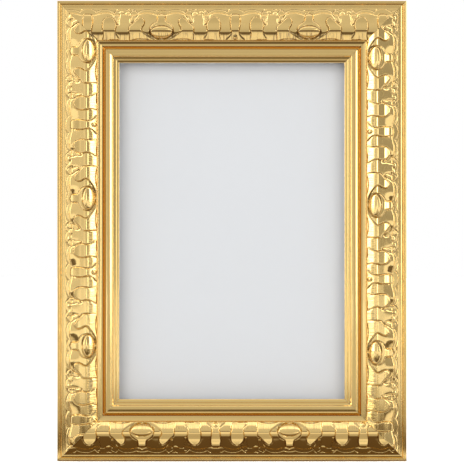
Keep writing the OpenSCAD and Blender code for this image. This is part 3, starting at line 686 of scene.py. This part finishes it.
def opaque(color, times=1.0):
    """Colour of four numbers, lighter or darker by a factor."""
    return (*[min(1, c * times) for c in color], 1)


def gilt_foil(name, side, settings):
    """Bright gold foil, brushed along a rail and drawn in fine lines down the crest's inner fall, with umber
    patina whose strength on each rail is painted shade.
    """
    material, n = new_material(name)
    axis, sign, start = FOIL_AXES[side]
    where = n.place()
    streaks = n.noise(n.drawn_out(where, 2 - axis, across=900.0, along=40.0), scale=1.6, detail=3.0,
                      roughness=0.6)
    hairs = n.noise(n.drawn_out(where, 2 - axis, across=120.0, along=1900.0), scale=1.0, detail=2.0,
                    roughness=0.7)
    grain = n.noise(where, scale=2600.0, detail=2.0)
    clouds = n.noise(where, scale=90.0, detail=3.0)
    inward = n.math("MULTIPLY_ADD", n.split(where)[axis], sign / MM, start)
    on_fall = n.math("MULTIPLY", n.ranged(inward, *LINES_BEGIN, 0.0, 1.0),
                     n.ranged(inward, *LINES_END, 1.0, 0.0))
    lines = n.math("MULTIPLY", on_fall, hairs)
    outlines = n.add("ShaderNodeAttribute", {"attribute_name": "patina"}).outputs["Fac"]
    settled = n.math("MAXIMUM", outlines, n.ranged(lines, 0.5, 0.66, 0.0, 0.7))
    # The umber is patina along the outlines, in the oval's groove and in the fine lines down the fall; its
    # strength on each rail is painted shade
    umber = n.math("MULTIPLY", settled, settings.patina * PATINA_AND_SHADE_SHARE[side])
    gold = n.tinted(clouds, opaque(settings.gold), opaque(settings.gold_deep))
    worn = n.ranged(streaks, 0.3, 0.7, settings.foil_roughness * 0.75, settings.foil_roughness * 1.35)
    duller = n.math("MULTIPLY_ADD", umber, 0.25, worn)
    duller.node.use_clamp = True
    height = n.math("MULTIPLY_ADD", lines, 12.0, n.math("MULTIPLY_ADD", grain, 0.35, streaks))
    n.surface(n.tinted(umber, gold, opaque(settings.umber)), duller,
              n.bump(height, strength=0.35, distance=0.00001),
              Metallic=1.0, Coat_Weight=0.8, Coat_Roughness=0.06, Coat_IOR=1.7)
    return material


def bare_wood(name, along):
    """Bare pale wood with its grain along a rail. along is the rail's axis, 0 for X and 2 for Z."""
    material, n = new_material(name)
    where = n.place()
    grain = n.noise(n.drawn_out(where, along, across=420.0, along=22.0), scale=1.0, detail=5.0,
                    roughness=0.65, distortion=0.6)
    pores = n.noise(n.drawn_out(where, along, across=2520.0, along=132.0), scale=1.0, detail=2.0)
    tint = n.tinted(n.ranged(grain, 0.32, 0.68, 0.0, 1.0), (0.30, 0.175, 0.085, 1), (0.52, 0.345, 0.19, 1))
    n.surface(tint, n.ranged(pores, 0.3, 0.7, 0.75, 0.55),
              n.bump(n.math("ADD", grain, pores), strength=0.5, distance=0.00006))
    return material


def black_fibre(name, color, scale):
    """Black faced fibreboard: a fine felted face, a little dust and rubbed patches."""
    material, n = new_material(name)
    where = n.place()
    felt = n.noise(where, scale=scale, detail=4.0, roughness=0.7)
    rubbed = n.noise(where, scale=45.0, detail=6.0, roughness=0.65, distortion=0.4)
    face = n.tinted(felt, opaque(color, 0.55), opaque(color, 1.5))
    dusty = n.tinted(n.ranged(rubbed, 0.52, 0.74, 0.0, 0.6), face, opaque(color, 2.4))
    n.surface(dusty, n.ranged(rubbed, 0.4, 0.7, 0.9, 0.68), n.bump(felt, strength=0.55, distance=0.00005),
              Specular_IOR_Level=0.3)
    return material


def worn_metal(name, color, dull, roughness, drawn):
    """Stamped metal with duller patches and fine lines. drawn is the axis that the lines follow."""
    material, n = new_material(name)
    where = n.place()
    lines = n.noise(n.drawn_out(where, drawn, across=5200.0, along=260.0), scale=1.0, detail=2.0)
    patches = n.noise(where, scale=330.0, detail=5.0, roughness=0.62)
    tint = n.tinted(n.ranged(patches, 0.44, 0.7, 0.0, 0.75), opaque(color), opaque(dull))
    n.surface(tint, n.ranged(patches, 0.35, 0.65, roughness * 0.8, roughness * 1.7),
              n.bump(lines, strength=0.3, distance=0.00001), Metallic=1.0)
    return material


def blank_paper(name, color):
    """Smooth blank paper with faint fibres."""
    material, n = new_material(name)
    fibres = n.noise(n.place(), scale=2500.0, detail=4.0, distortion=1.2)
    tint = n.tinted(fibres, opaque(color, 0.985), opaque(color, 1.015))
    n.surface(tint, 0.85, n.bump(fibres, strength=0.1, distance=0.00003))
    return material


def clear_glass(name):
    """Clear glass that lets light through to the picture."""
    material, n = new_material(name)
    glass = n.add("ShaderNodeBsdfPrincipled", {"Base Color": (0.985, 0.99, 0.99, 1), "Roughness": 0.02,
                                               "IOR": 1.5, "Transmission Weight": 1.0})
    clear = n.add("ShaderNodeBsdfTransparent", {"Color": (0.98, 0.985, 0.985, 1)})
    mix = n.add("ShaderNodeMixShader")
    n.link(n.rays("Is Shadow Ray", "Is Diffuse Ray"), mix, 0)
    n.link(glass.outputs[0], mix, 1)
    n.link(clear.outputs[0], mix, 2)
    n.finish(mix)
    return material


def head_tree(name, crossed):
    """Geometry Nodes tree that sets domed heads with shanks on points, facing backwards."""
    tree = bpy.data.node_groups.new(name, "GeometryNodeTree")
    sockets = tree.interface
    sockets.new_socket(name="Geometry", in_out="INPUT", socket_type="NodeSocketGeometry")
    for label in ("Head Radius", "Head Height", "Seat", "Shank Radius", "Shank Length", "Cross Length",
                  "Cross Width", "Cross Depth"):
        sockets.new_socket(name=label, in_out="INPUT", socket_type="NodeSocketFloat")
    sockets.new_socket(name="Turn Seed", in_out="INPUT", socket_type="NodeSocketInt")
    sockets.new_socket(name="Finish", in_out="INPUT", socket_type="NodeSocketMaterial")
    sockets.new_socket(name="Geometry", in_out="OUTPUT", socket_type="NodeSocketGeometry")
    n = Nodes(tree)
    given = n.add("NodeGroupInput").outputs
    radius, height, seat = given["Head Radius"], given["Head Height"], given["Seat"]

    def vector(x=0.0, y=0.0, z=0.0):
        """Vector of three values."""
        node = n.add("ShaderNodeCombineXYZ")
        for i, value in enumerate((x, y, z)):
            n.link(value, node, i)
        return node.outputs[0]

    def block(x, y, z):
        """Block of three lengths round the middle."""
        node = n.add("GeometryNodeMeshCube")
        n.link(vector(x, y, z), node, "Size")
        return node.outputs["Mesh"]

    def placed(geometry, up, turn=0.0):
        """Geometry moved up and turned round its axis."""
        node = n.add("GeometryNodeTransform", {"Rotation": (0.0, 0.0, turn)})
        n.link(geometry, node, "Geometry")
        n.link(vector(z=up), node, "Translation")
        return node.outputs[0]

    def cut_off(geometry, *cutters):
        """Geometry without what lies in its cutters."""
        node = n.add("GeometryNodeMeshBoolean", {"operation": "DIFFERENCE"})
        n.link(geometry, node, "Mesh 1")
        for cutter in cutters:
            n.link(cutter, node, "Mesh 2")
        return node.outputs["Mesh"]

    ball = n.add("GeometryNodeMeshUVSphere", {"Segments": 40, "Rings": 20, "Radius": 1.0})
    lens = n.add("GeometryNodeTransform")
    n.link(ball.outputs["Mesh"], lens, "Geometry")
    n.link(vector(radius, radius, height), lens, "Scale")
    n.link(vector(z=seat), lens, "Translation")
    wide = n.math("MULTIPLY", radius, 4.0)
    below = block(wide, wide, n.math("MULTIPLY", height, 4.0))
    top = cut_off(lens.outputs[0], placed(below, n.math("MULTIPLY_ADD", height, -2.0, seat)))
    if crossed:
        depth = n.math("MULTIPLY", given["Cross Depth"], 2.0)
        slot = block(given["Cross Length"], given["Cross Width"], depth)
        crest = n.math("ADD", height, seat)
        top = cut_off(top, *[placed(slot, crest, turn) for turn in (0.0, math.pi / 2)])
    shank = n.add("GeometryNodeMeshCylinder", {"Vertices": 24})
    n.link(given["Shank Radius"], shank, "Radius")
    n.link(n.math("ADD", seat, given["Shank Length"]), shank, "Depth")
    middle = n.math("MULTIPLY", n.math("SUBTRACT", seat, given["Shank Length"]), 0.5)
    one = n.add("GeometryNodeJoinGeometry")
    n.link(top, one, "Geometry")
    n.link(placed(shank.outputs["Mesh"], middle), one, "Geometry")
    roll = n.add("FunctionNodeRandomValue", {"data_type": "FLOAT"})
    n.link(0.0, roll, 2)
    n.link(math.tau, roll, 3)
    n.link(given["Turn Seed"], roll, "Seed")
    turned = n.add("FunctionNodeRotateEuler", {"rotation_type": "EULER", "space": "OBJECT"})
    n.link(vector(z=roll.outputs[1]), turned, 0)
    n.link((-math.pi / 2, 0.0, 0.0), turned, 1)
    spread = n.add("GeometryNodeInstanceOnPoints")
    n.link(given["Geometry"], spread, "Points")
    n.link(one.outputs[0], spread, "Instance")
    n.link(turned.outputs[0], spread, "Rotation")
    real = n.add("GeometryNodeRealizeInstances")
    n.link(spread.outputs[0], real, "Geometry")
    finish = n.add("GeometryNodeSetMaterial")
    n.link(real.outputs[0], finish, "Geometry")
    n.link(given["Finish"], finish, "Material")
    n.link(finish.outputs[0], n.add("NodeGroupOutput"), "Geometry")
    return tree


def set_heads(node, body, places, tree, sizes, material):
    """Domed heads set on places in metres by a Geometry Nodes tree, as one plain mesh for a CAD node."""
    name = node + "_detail"
    mesh = bpy.data.meshes.new(name)
    mesh.from_pydata(places, [], [])
    piece = new_object(name, mesh)
    modifier = piece.modifiers.new("heads", "NODES")
    modifier.node_group = tree
    given = {**sizes, "Finish": material}
    for socket in tree.interface.items_tree:
        if socket.in_out == "INPUT" and socket.name in given:
            modifier[socket.identifier] = given[socket.name]
    made = piece.evaluated_get(bpy.context.evaluated_depsgraph_get())
    plain_mesh = bpy.data.meshes.new_from_object(made)
    piece.modifiers.clear()
    piece.data = plain_mesh
    plain_mesh.name = name
    outward(plain_mesh)
    smooth(plain_mesh, sharp=35)
    if not plain_mesh.polygons:
        raise RuntimeError(name + " has no faces")
    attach(piece, body)
    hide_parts(node)


class FinishSettings(bpy.types.PropertyGroup):
    """Colours and gloss of the frame's finishes."""

    gold: FloatVectorProperty(
        name="Gold", description="Colour of the gold foil", subtype="COLOR",
        default=(0.93, 0.645, 0.225), min=0, max=1)
    gold_deep: FloatVectorProperty(
        name="Deeper gold", description="Colour of the foil where it is thicker", subtype="COLOR",
        default=(0.90, 0.61, 0.19), min=0, max=1)
    umber: FloatVectorProperty(
        name="Umber", description="Colour of the patina along the leaves' outlines", subtype="COLOR",
        default=(0.20, 0.11, 0.04), min=0, max=1)
    patina: FloatProperty(
        name="Patina", description="How much umber stays along the leaves' outlines", default=0.85,
        min=0, max=1, subtype="FACTOR")
    foil_roughness: FloatProperty(
        name="Foil roughness", description="Roughness of the gold foil", default=0.09, min=0.02, max=1)
    picture: FloatVectorProperty(
        name="Picture", description="Colour of the blank picture sheet", subtype="COLOR",
        default=(0.618, 0.623, 0.643), min=0, max=1)
    board: FloatVectorProperty(
        name="Board", description="Colour of the backing board's face", subtype="COLOR",
        default=(0.014, 0.014, 0.015), min=0, max=1)
    strut: FloatVectorProperty(
        name="Strut", description="Colour of the strut's face", subtype="COLOR",
        default=(0.017, 0.017, 0.018), min=0, max=1)
    nickel: FloatVectorProperty(
        name="Nickel", description="Colour of the hinge's plating", subtype="COLOR",
        default=(0.66, 0.65, 0.62), min=0, max=1)
    brass: FloatVectorProperty(
        name="Brass", description="Colour of the buttons', hangers' and screws' plating", subtype="COLOR",
        default=(0.78, 0.55, 0.24), min=0, max=1)


class FastenerSettings(bpy.types.PropertyGroup):
    """Sizes of the screws' and rivets' heads and shanks."""

    screw_radius: FloatProperty(name="Screw head", description="Radius of a screw's head", default=0.002,
                                min=0.001, max=0.004, unit="LENGTH")
    screw_height: FloatProperty(name="Screw height", description="Height of a screw's head", default=0.00097,
                                min=0.0005, max=0.002, unit="LENGTH")
    screw_shank: FloatProperty(name="Screw shank", description="Radius of a screw's shank", default=0.0011,
                               min=0.0005, max=0.002, unit="LENGTH")
    cross_length: FloatProperty(name="Cross length", description="Length of the cross in a screw's head",
                                default=0.0022, min=0.001, max=0.004, unit="LENGTH")
    cross_depth: FloatProperty(name="Cross depth", description="Depth of the cross in a screw's head",
                               default=0.00055, min=0.0002, max=0.001, unit="LENGTH")
    cross_width: FloatProperty(name="Cross width", description="Width of the cross in a screw's head",
                               default=0.00042, min=0.0002, max=0.001, unit="LENGTH")
    rivet_radius: FloatProperty(name="Rivet head", description="Radius of a rivet's head", default=0.0018,
                                min=0.001, max=0.004, unit="LENGTH")
    rivet_height: FloatProperty(name="Rivet height", description="Height of a rivet's head", default=0.0007,
                                min=0.0003, max=0.002, unit="LENGTH")
    rivet_shank: FloatProperty(name="Rivet shank", description="Radius of a rivet's shank", default=0.001,
                               min=0.0005, max=0.002, unit="LENGTH")
    seed: IntProperty(name="Turn seed", description="Seed for the way each screw is turned", default=4,
                      min=0, max=99)


class ShapeSettings(bpy.types.PropertyGroup):
    """Sizes of the details that a user may change."""

    joint_gap: FloatProperty(
        name="Mitre gap", description="Gap of each rail to the mitre's middle",
        default=0.00003, min=0, max=0.0002, precision=5, unit="LENGTH")
    grid_step: FloatProperty(
        name="Relief step", description="Spacing of the relief's points",
        default=0.00014, min=0.0001, max=0.001, precision=5, unit="LENGTH")


class StudioSettings(bpy.types.PropertyGroup):
    """Light of the studio, as the eye and the gold see it."""

    level: FloatProperty(name="Level", description="Light of the lamps on matt surfaces", default=1.0,
                         min=0, max=3)
    left: FloatProperty(name="Left", description="Room's light on the left", default=0.74, min=0, max=3)
    right: FloatProperty(name="Right", description="Room's light on the right", default=0.40, min=0, max=3)
    above: FloatProperty(name="Above", description="More of the room's light from above, less from below",
                         default=0.14, min=0, max=1)
    wings: FloatProperty(name="Wings", description="Light from straight beside the frame",
                         default=4.6, min=0, max=9)
    overhead: FloatProperty(name="Overhead", description="Light from straight above the frame",
                            default=1.5, min=0, max=9)
    box_left: FloatProperty(name="Left soft box", description="Light of the left soft box over the room's",
                            default=0.15, min=0, max=9)
    box_right: FloatProperty(name="Right soft box", description="Light of the right soft box over the room's",
                             default=3.6, min=0, max=9)
    place_left: FloatProperty(name="Left box place", description="Sideways direction of the left soft box",
                              default=0.7, min=0, max=1)
    place_right: FloatProperty(name="Right box place", description="Sideways direction of the right soft box",
                               default=0.27, min=0, max=1)
    box_width: FloatProperty(name="Soft box width", description="Half width of a soft box as a direction",
                             default=0.12, min=0.01, max=1)
    box_height: FloatProperty(name="Soft box height", description="Half height of a soft box as a direction",
                              default=0.16, min=0.01, max=1)


class PICTUREFRAME_OT_mouldings(bpy.types.Operator):
    """Builds the four mitred mouldings"""

    bl_idname = "picture_frame.mouldings"
    bl_label = "Mouldings"

    def execute(self, context):
        finish = context.scene.frame_finish
        shape = context.scene.frame_shape
        for side, (turn, _, _, _) in RAILS.items():
            foil = gilt_foil("gold_foil_" + side, side, finish)
            wood = bare_wood("bare_wood_" + side, 0 if turn in (0, 180) else 2)
            moulding = build_moulding(side, shape.joint_gap / MM, foil, wood)
            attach(moulding, "frame")
            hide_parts("rail_" + side)
        return {"FINISHED"}


class PICTUREFRAME_OT_ornament(bpy.types.Operator):
    """Builds the embossed leaf layer of each rail"""

    bl_idname = "picture_frame.ornament"
    bl_label = "Leaf ornament"

    def execute(self, context):
        shape = context.scene.frame_shape
        relief = Relief()
        for side in RAILS:
            foil = bpy.data.materials["gold_foil_" + side]
            layer = build_ornament(side, relief, shape.joint_gap / MM, shape.grid_step / MM, foil)
            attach(layer, "frame")
            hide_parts("ornament_" + side)
        return {"FINISHED"}


def give_finish(material, *names):
    """Gives carried-over nodes a finish."""
    for name in names:
        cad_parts[name].material_slots[0].material = material


class PICTUREFRAME_OT_glazing(bpy.types.Operator):
    """Gives the glass and the picture sheet their finishes"""

    bl_idname = "picture_frame.glazing"
    bl_label = "Glass and picture"

    def execute(self, context):
        finish = context.scene.frame_finish
        give_finish(clear_glass("clear_glass"), "glass_pane")
        give_finish(blank_paper("picture_paper", finish.picture), "picture_sheet")
        return {"FINISHED"}


class PICTUREFRAME_OT_board(bpy.types.Operator):
    """Gives the backing board and the corner nails their finishes"""

    bl_idname = "picture_frame.board"
    bl_label = "Backing board and nails"

    def execute(self, context):
        finish = context.scene.frame_finish
        give_finish(black_fibre("black_board", finish.board, scale=3200.0), "backing_board")
        steel = worn_metal("nail_steel", (0.50, 0.50, 0.51), dull=(0.22, 0.20, 0.18), roughness=0.4, drawn=1)
        give_finish(steel, "corner_nails")
        return {"FINISHED"}


class PICTUREFRAME_OT_strut(bpy.types.Operator):
    """Gives the easel strut and its hinge their finishes"""

    bl_idname = "picture_frame.strut"
    bl_label = "Strut and hinge"

    def execute(self, context):
        finish = context.scene.frame_finish
        give_finish(black_fibre("black_strut", finish.strut, scale=4200.0), "strut_leg")
        nickel = worn_metal("nickel_plate", finish.nickel, dull=(0.36, 0.35, 0.33), roughness=0.26, drawn=0)
        give_finish(nickel, "hinge_board_leaf", "hinge_leg_leaf", "hinge_pin")
        return {"FINISHED"}


class PICTUREFRAME_OT_fittings(bpy.types.Operator):
    """Gives the turn buttons and the ring hangers their finishes"""

    bl_idname = "picture_frame.fittings"
    bl_label = "Turn buttons and hangers"

    def execute(self, context):
        finish = context.scene.frame_finish
        brass = worn_metal("brass_plate", finish.brass, dull=(0.46, 0.29, 0.11), roughness=0.24, drawn=0)
        give_finish(brass, *[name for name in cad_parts
                             if name.startswith(("turn_button_left", "turn_button_right", "hanger_strap"))])
        wire = worn_metal("brass_wire", finish.brass, dull=(0.52, 0.34, 0.14), roughness=0.18, drawn=2)
        give_finish(wire, "hanger_ring_top", "hanger_ring_side")
        return {"FINISHED"}


class PICTUREFRAME_OT_fasteners(bpy.types.Operator):
    """Sets the screws and the rivets on the back"""

    bl_idname = "picture_frame.fasteners"
    bl_label = "Screws and rivets"

    def execute(self, context):
        sizes = context.scene.frame_fasteners
        finish = context.scene.frame_finish
        tree = head_tree("cross_head_screws", True)
        brass = worn_metal("screw_brass", finish.brass, dull=(0.42, 0.26, 0.1), roughness=0.3, drawn=2)
        back = BACK_Y * MM
        for node in ("turn_button_screws", "hanger_screws"):
            low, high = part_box(node)
            r = sizes.screw_radius
            if node == "turn_button_screws":
                places = [(x, back, z) for x in (low.x + r, high.x - r) for z in (low.z + r, high.z - r)]
            else:
                places = [(0.0, back, high.z - r), (high.x - r, back, low.z + r)]
            screw = {"Head Radius": r, "Head Height": sizes.screw_height,
                     "Seat": high.y - back - sizes.screw_height, "Shank Radius": sizes.screw_shank,
                     "Shank Length": back - low.y, "Cross Length": sizes.cross_length,
                     "Cross Width": sizes.cross_width, "Cross Depth": sizes.cross_depth,
                     "Turn Seed": sizes.seed}
            set_heads(node, "frame", places, tree, screw, brass)
        tree = head_tree("domed_rivets", False)
        steel = worn_metal("rivet_steel", finish.nickel, dull=(0.34, 0.33, 0.31), roughness=0.22, drawn=2)
        for node, body in (("board_rivets", "frame"), ("leg_rivets", "strut")):
            low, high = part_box(node)
            r = sizes.rivet_radius
            places = [(side * (high.x - r), low.y, (low.z + high.z) / 2) for side in (-1, 1)]
            rivet = {"Head Radius": r, "Head Height": sizes.rivet_height,
                     "Seat": high.y - low.y - sizes.rivet_height, "Shank Radius": sizes.rivet_shank,
                     "Shank Length": 0.0, "Turn Seed": sizes.seed}
            set_heads(node, body, places, tree, rivet, steel)
        return {"FINISHED"}


def soft_box(n, direction, x, half_size, light, lit):
    """Adds the light of a soft box ahead, at a sideways direction, to the light so far."""
    scaled = n.add("ShaderNodeVectorMath", {"operation": "MULTIPLY_ADD"})
    n.link(direction, scaled, 0)
    n.link((1 / half_size[0], 0.0, 1 / half_size[1]), scaled, 1)
    n.link((-x / half_size[0], 0.0, 0.0), scaled, 2)
    reach = n.add("ShaderNodeVectorMath", {"operation": "LENGTH"})
    n.link(scaled.outputs[0], reach, 0)
    return n.math("ADD", lit, n.ranged(reach.outputs["Value"], *BOX_EDGE, light, 0.0, "SMOOTHSTEP"))


def world_light(world, studio):
    """Studio light by direction: a pale room, soft boxes ahead and at the sides, white behind."""
    world.use_nodes = True
    n = Nodes(world.node_tree)
    direction = n.add("ShaderNodeTexCoord").outputs["Generated"]
    x, y, z = n.split(direction)
    room = n.math("MULTIPLY_ADD", z, studio.above, n.ranged(x, *ROOM_SPAN, studio.left, studio.right))
    half_size = (studio.box_width, studio.box_height)
    lit = soft_box(n, direction, -studio.place_left, half_size, studio.box_left, room)
    lit = soft_box(n, direction, studio.place_right, half_size, studio.box_right, lit)
    wings = n.ranged(n.math("ABSOLUTE", x), *WINGS_SPAN, studio.overhead, studio.wings)
    lit = n.mixed(n.ranged(y, *WINGS_BEGIN, 0.0, 1.0), lit, wings)
    lit = n.mixed(n.ranged(y, *BACKDROP_BEGINS, 0.0, 1.0), lit, 1.0)
    lit = n.mixed(n.rays("Is Camera Ray", "Is Transmission Ray"), lit, 1.0)
    background = n.add("ShaderNodeBackground", {"Color": (1, 1, 1, 1)})
    n.link(lit, background, "Strength")
    n.finish(background, "ShaderNodeOutputWorld")


def soft_lamp(name, place, power):
    """Large area lamp that lights matt surfaces and doesn't show in the gold."""
    light = bpy.data.lights.new(name, "AREA")
    light.shape = "SQUARE"
    light.size = LAMP_SIZE
    light.energy = power
    lamp = bpy.data.objects.new(name, light)
    bpy.context.scene.collection.objects.link(lamp)
    lamp.location = place
    lamp.rotation_euler = (Vector(LAMP_AIM) - Vector(place)).to_track_quat("-Z", "Y").to_euler()
    lamp.visible_camera = False
    lamp.visible_glossy = False
    lamp.visible_transmission = False


def painted_reflection_material(name):
    """Painted reflection of the floor in front, a glow that only the gold sees: painted shadow at the foot,
    pale lit bands, and a second dark band further out.
    """
    material, n = new_material(name)
    away = n.math("MULTIPLY", n.split(n.place())["Y"], -1 / CARD_START)
    ramp = n.add("ShaderNodeValToRGB")
    n.link(n.math("LOGARITHM", away, CARD_REACH), ramp, 0)
    stops = ramp.color_ramp.elements
    for i, (place, color) in enumerate(PAINTED_REFLECTION_STOPS):
        at = math.log(place / CARD_START, CARD_REACH)
        stop = stops[i] if i < 2 else stops.new(at)
        stop.position = at
        stop.color = (*color, 1)
    glow = n.add("ShaderNodeEmission", {"Strength": 1.0})
    n.link(ramp.outputs[0], glow, "Color")
    n.finish(glow)
    return material


def stage_material(name, color, lift):
    """Pale matt surface, white to the camera and through glass, and a little lifted in the gold."""
    material, n = new_material(name)
    matt = n.add("ShaderNodeBsdfDiffuse", {"Color": (*color, 1)})
    glow = n.add("ShaderNodeEmission", {"Color": (1, 1, 1, 1)})
    mirrored = n.math("MULTIPLY", n.rays("Is Glossy Ray"), MIRRORED_SHARE)
    seen = n.math("MAXIMUM", n.rays("Is Camera Ray", "Is Transmission Ray"), mirrored)
    n.link(n.math("MULTIPLY", seen, lift), glow, "Strength")
    both = n.add("ShaderNodeAddShader")
    n.link(matt.outputs[0], both, 0)
    n.link(glow.outputs[0], both, 1)
    n.finish(both)
    return material


def stage_sheet(name, half_width, near, far, height, material):
    """Flat sheet of the stage that reaches from near to far along Y, in metres."""
    corners = [(-half_width, near, height), (half_width, near, height),
               (half_width, far, height), (-half_width, far, height)]
    sheet = mesh_object(name, corners, [(0, 1, 2, 3)], material)
    return sheet


def set_camera(scene):
    """Camera straight ahead of the frame, far away, with the photograph's framing."""
    camera = bpy.data.cameras.new("camera")
    eye = bpy.data.objects.new("camera", camera)
    scene.collection.objects.link(eye)
    camera.sensor_width = 36
    camera.lens = camera.sensor_width * CAMERA_DISTANCE / (SHOWN * MM)
    camera.clip_start = 0.05
    camera.clip_end = 50
    eye.location = (0.0, LOW.y + FOCUS_IN - CAMERA_DISTANCE, MIDDLE_Z * MM)
    eye.rotation_euler = (math.pi / 2, 0, 0)
    camera.shift_x = CAMERA_SHIFT[0] / IMAGE_SIZE
    camera.shift_y = CAMERA_SHIFT[1] / IMAGE_SIZE
    scene.camera = eye


class PICTUREFRAME_OT_stage(bpy.types.Operator):
    """Sets up the floor, the light and the camera"""

    bl_idname = "picture_frame.stage"
    bl_label = "Stage"

    def execute(self, context):
        scene = context.scene
        scene.view_settings.view_transform = "Standard"
        if scene.world is None:
            scene.world = bpy.data.worlds.new("studio")
        world_light(scene.world, scene.frame_studio)
        stage_sheet("floor", 4, -4, 6, 0, stage_material("pale_floor", FLOOR_COLOR, FLOOR_LIFT))
        # This sheet glows only for the gold and paints its reflection of the floor's light and shadow in
        # front of the frame
        card = stage_sheet("painted_reflection_sheet", 0.5, -4, -CARD_START, 0.0002, painted_reflection_material("painted_floor_reflection"))
        card.visible_camera = False
        card.visible_diffuse = False
        card.visible_shadow = False
        card.visible_transmission = False
        for name, place, power in LAMPS:
            soft_lamp(name, place, scene.frame_studio.level * power)
        set_camera(scene)
        return {"FINISHED"}


class PICTUREFRAME_PT_panel(bpy.types.Panel):
    """Lists the steps and the settings"""

    bl_idname = "PICTUREFRAME_PT_panel"
    bl_label = "Picture frame"
    bl_space_type = "VIEW_3D"
    bl_region_type = "UI"
    bl_category = "Picture frame"

    def draw(self, context):
        """Draws the steps' buttons and the settings' fields."""
        column = self.layout.column()
        for step in STEPS:
            column.operator(step.bl_idname)
        for group in SETTINGS:
            settings = getattr(context.scene, group)
            for name in settings.bl_rna.properties.keys():
                if name not in ("rna_type", "name"):
                    column.prop(settings, name)


STEPS = (PICTUREFRAME_OT_mouldings, PICTUREFRAME_OT_ornament, PICTUREFRAME_OT_glazing, PICTUREFRAME_OT_board,
         PICTUREFRAME_OT_strut, PICTUREFRAME_OT_fittings, PICTUREFRAME_OT_fasteners, PICTUREFRAME_OT_stage)
SETTINGS = {"frame_finish": FinishSettings, "frame_shape": ShapeSettings, "frame_fasteners": FastenerSettings,
            "frame_studio": StudioSettings}
CLASSES = (*SETTINGS.values(), *STEPS, PICTUREFRAME_PT_panel)


def register():
    """Registers the classes and the settings."""
    for cls in CLASSES:
        bpy.utils.register_class(cls)
    for name, group in SETTINGS.items():
        setattr(bpy.types.Scene, name, PointerProperty(type=group))


def unregister():
    """Takes the settings and the classes away again."""
    for name in SETTINGS:
        delattr(bpy.types.Scene, name)
    for cls in reversed(CLASSES):
        bpy.utils.unregister_class(cls)


def main():
    """Builds the frame and its stage."""
    register()
    for step in STEPS:
        group, name = step.bl_idname.split(".")
        getattr(getattr(bpy.ops, group), name)()


if __name__ == "__main__":
    main()
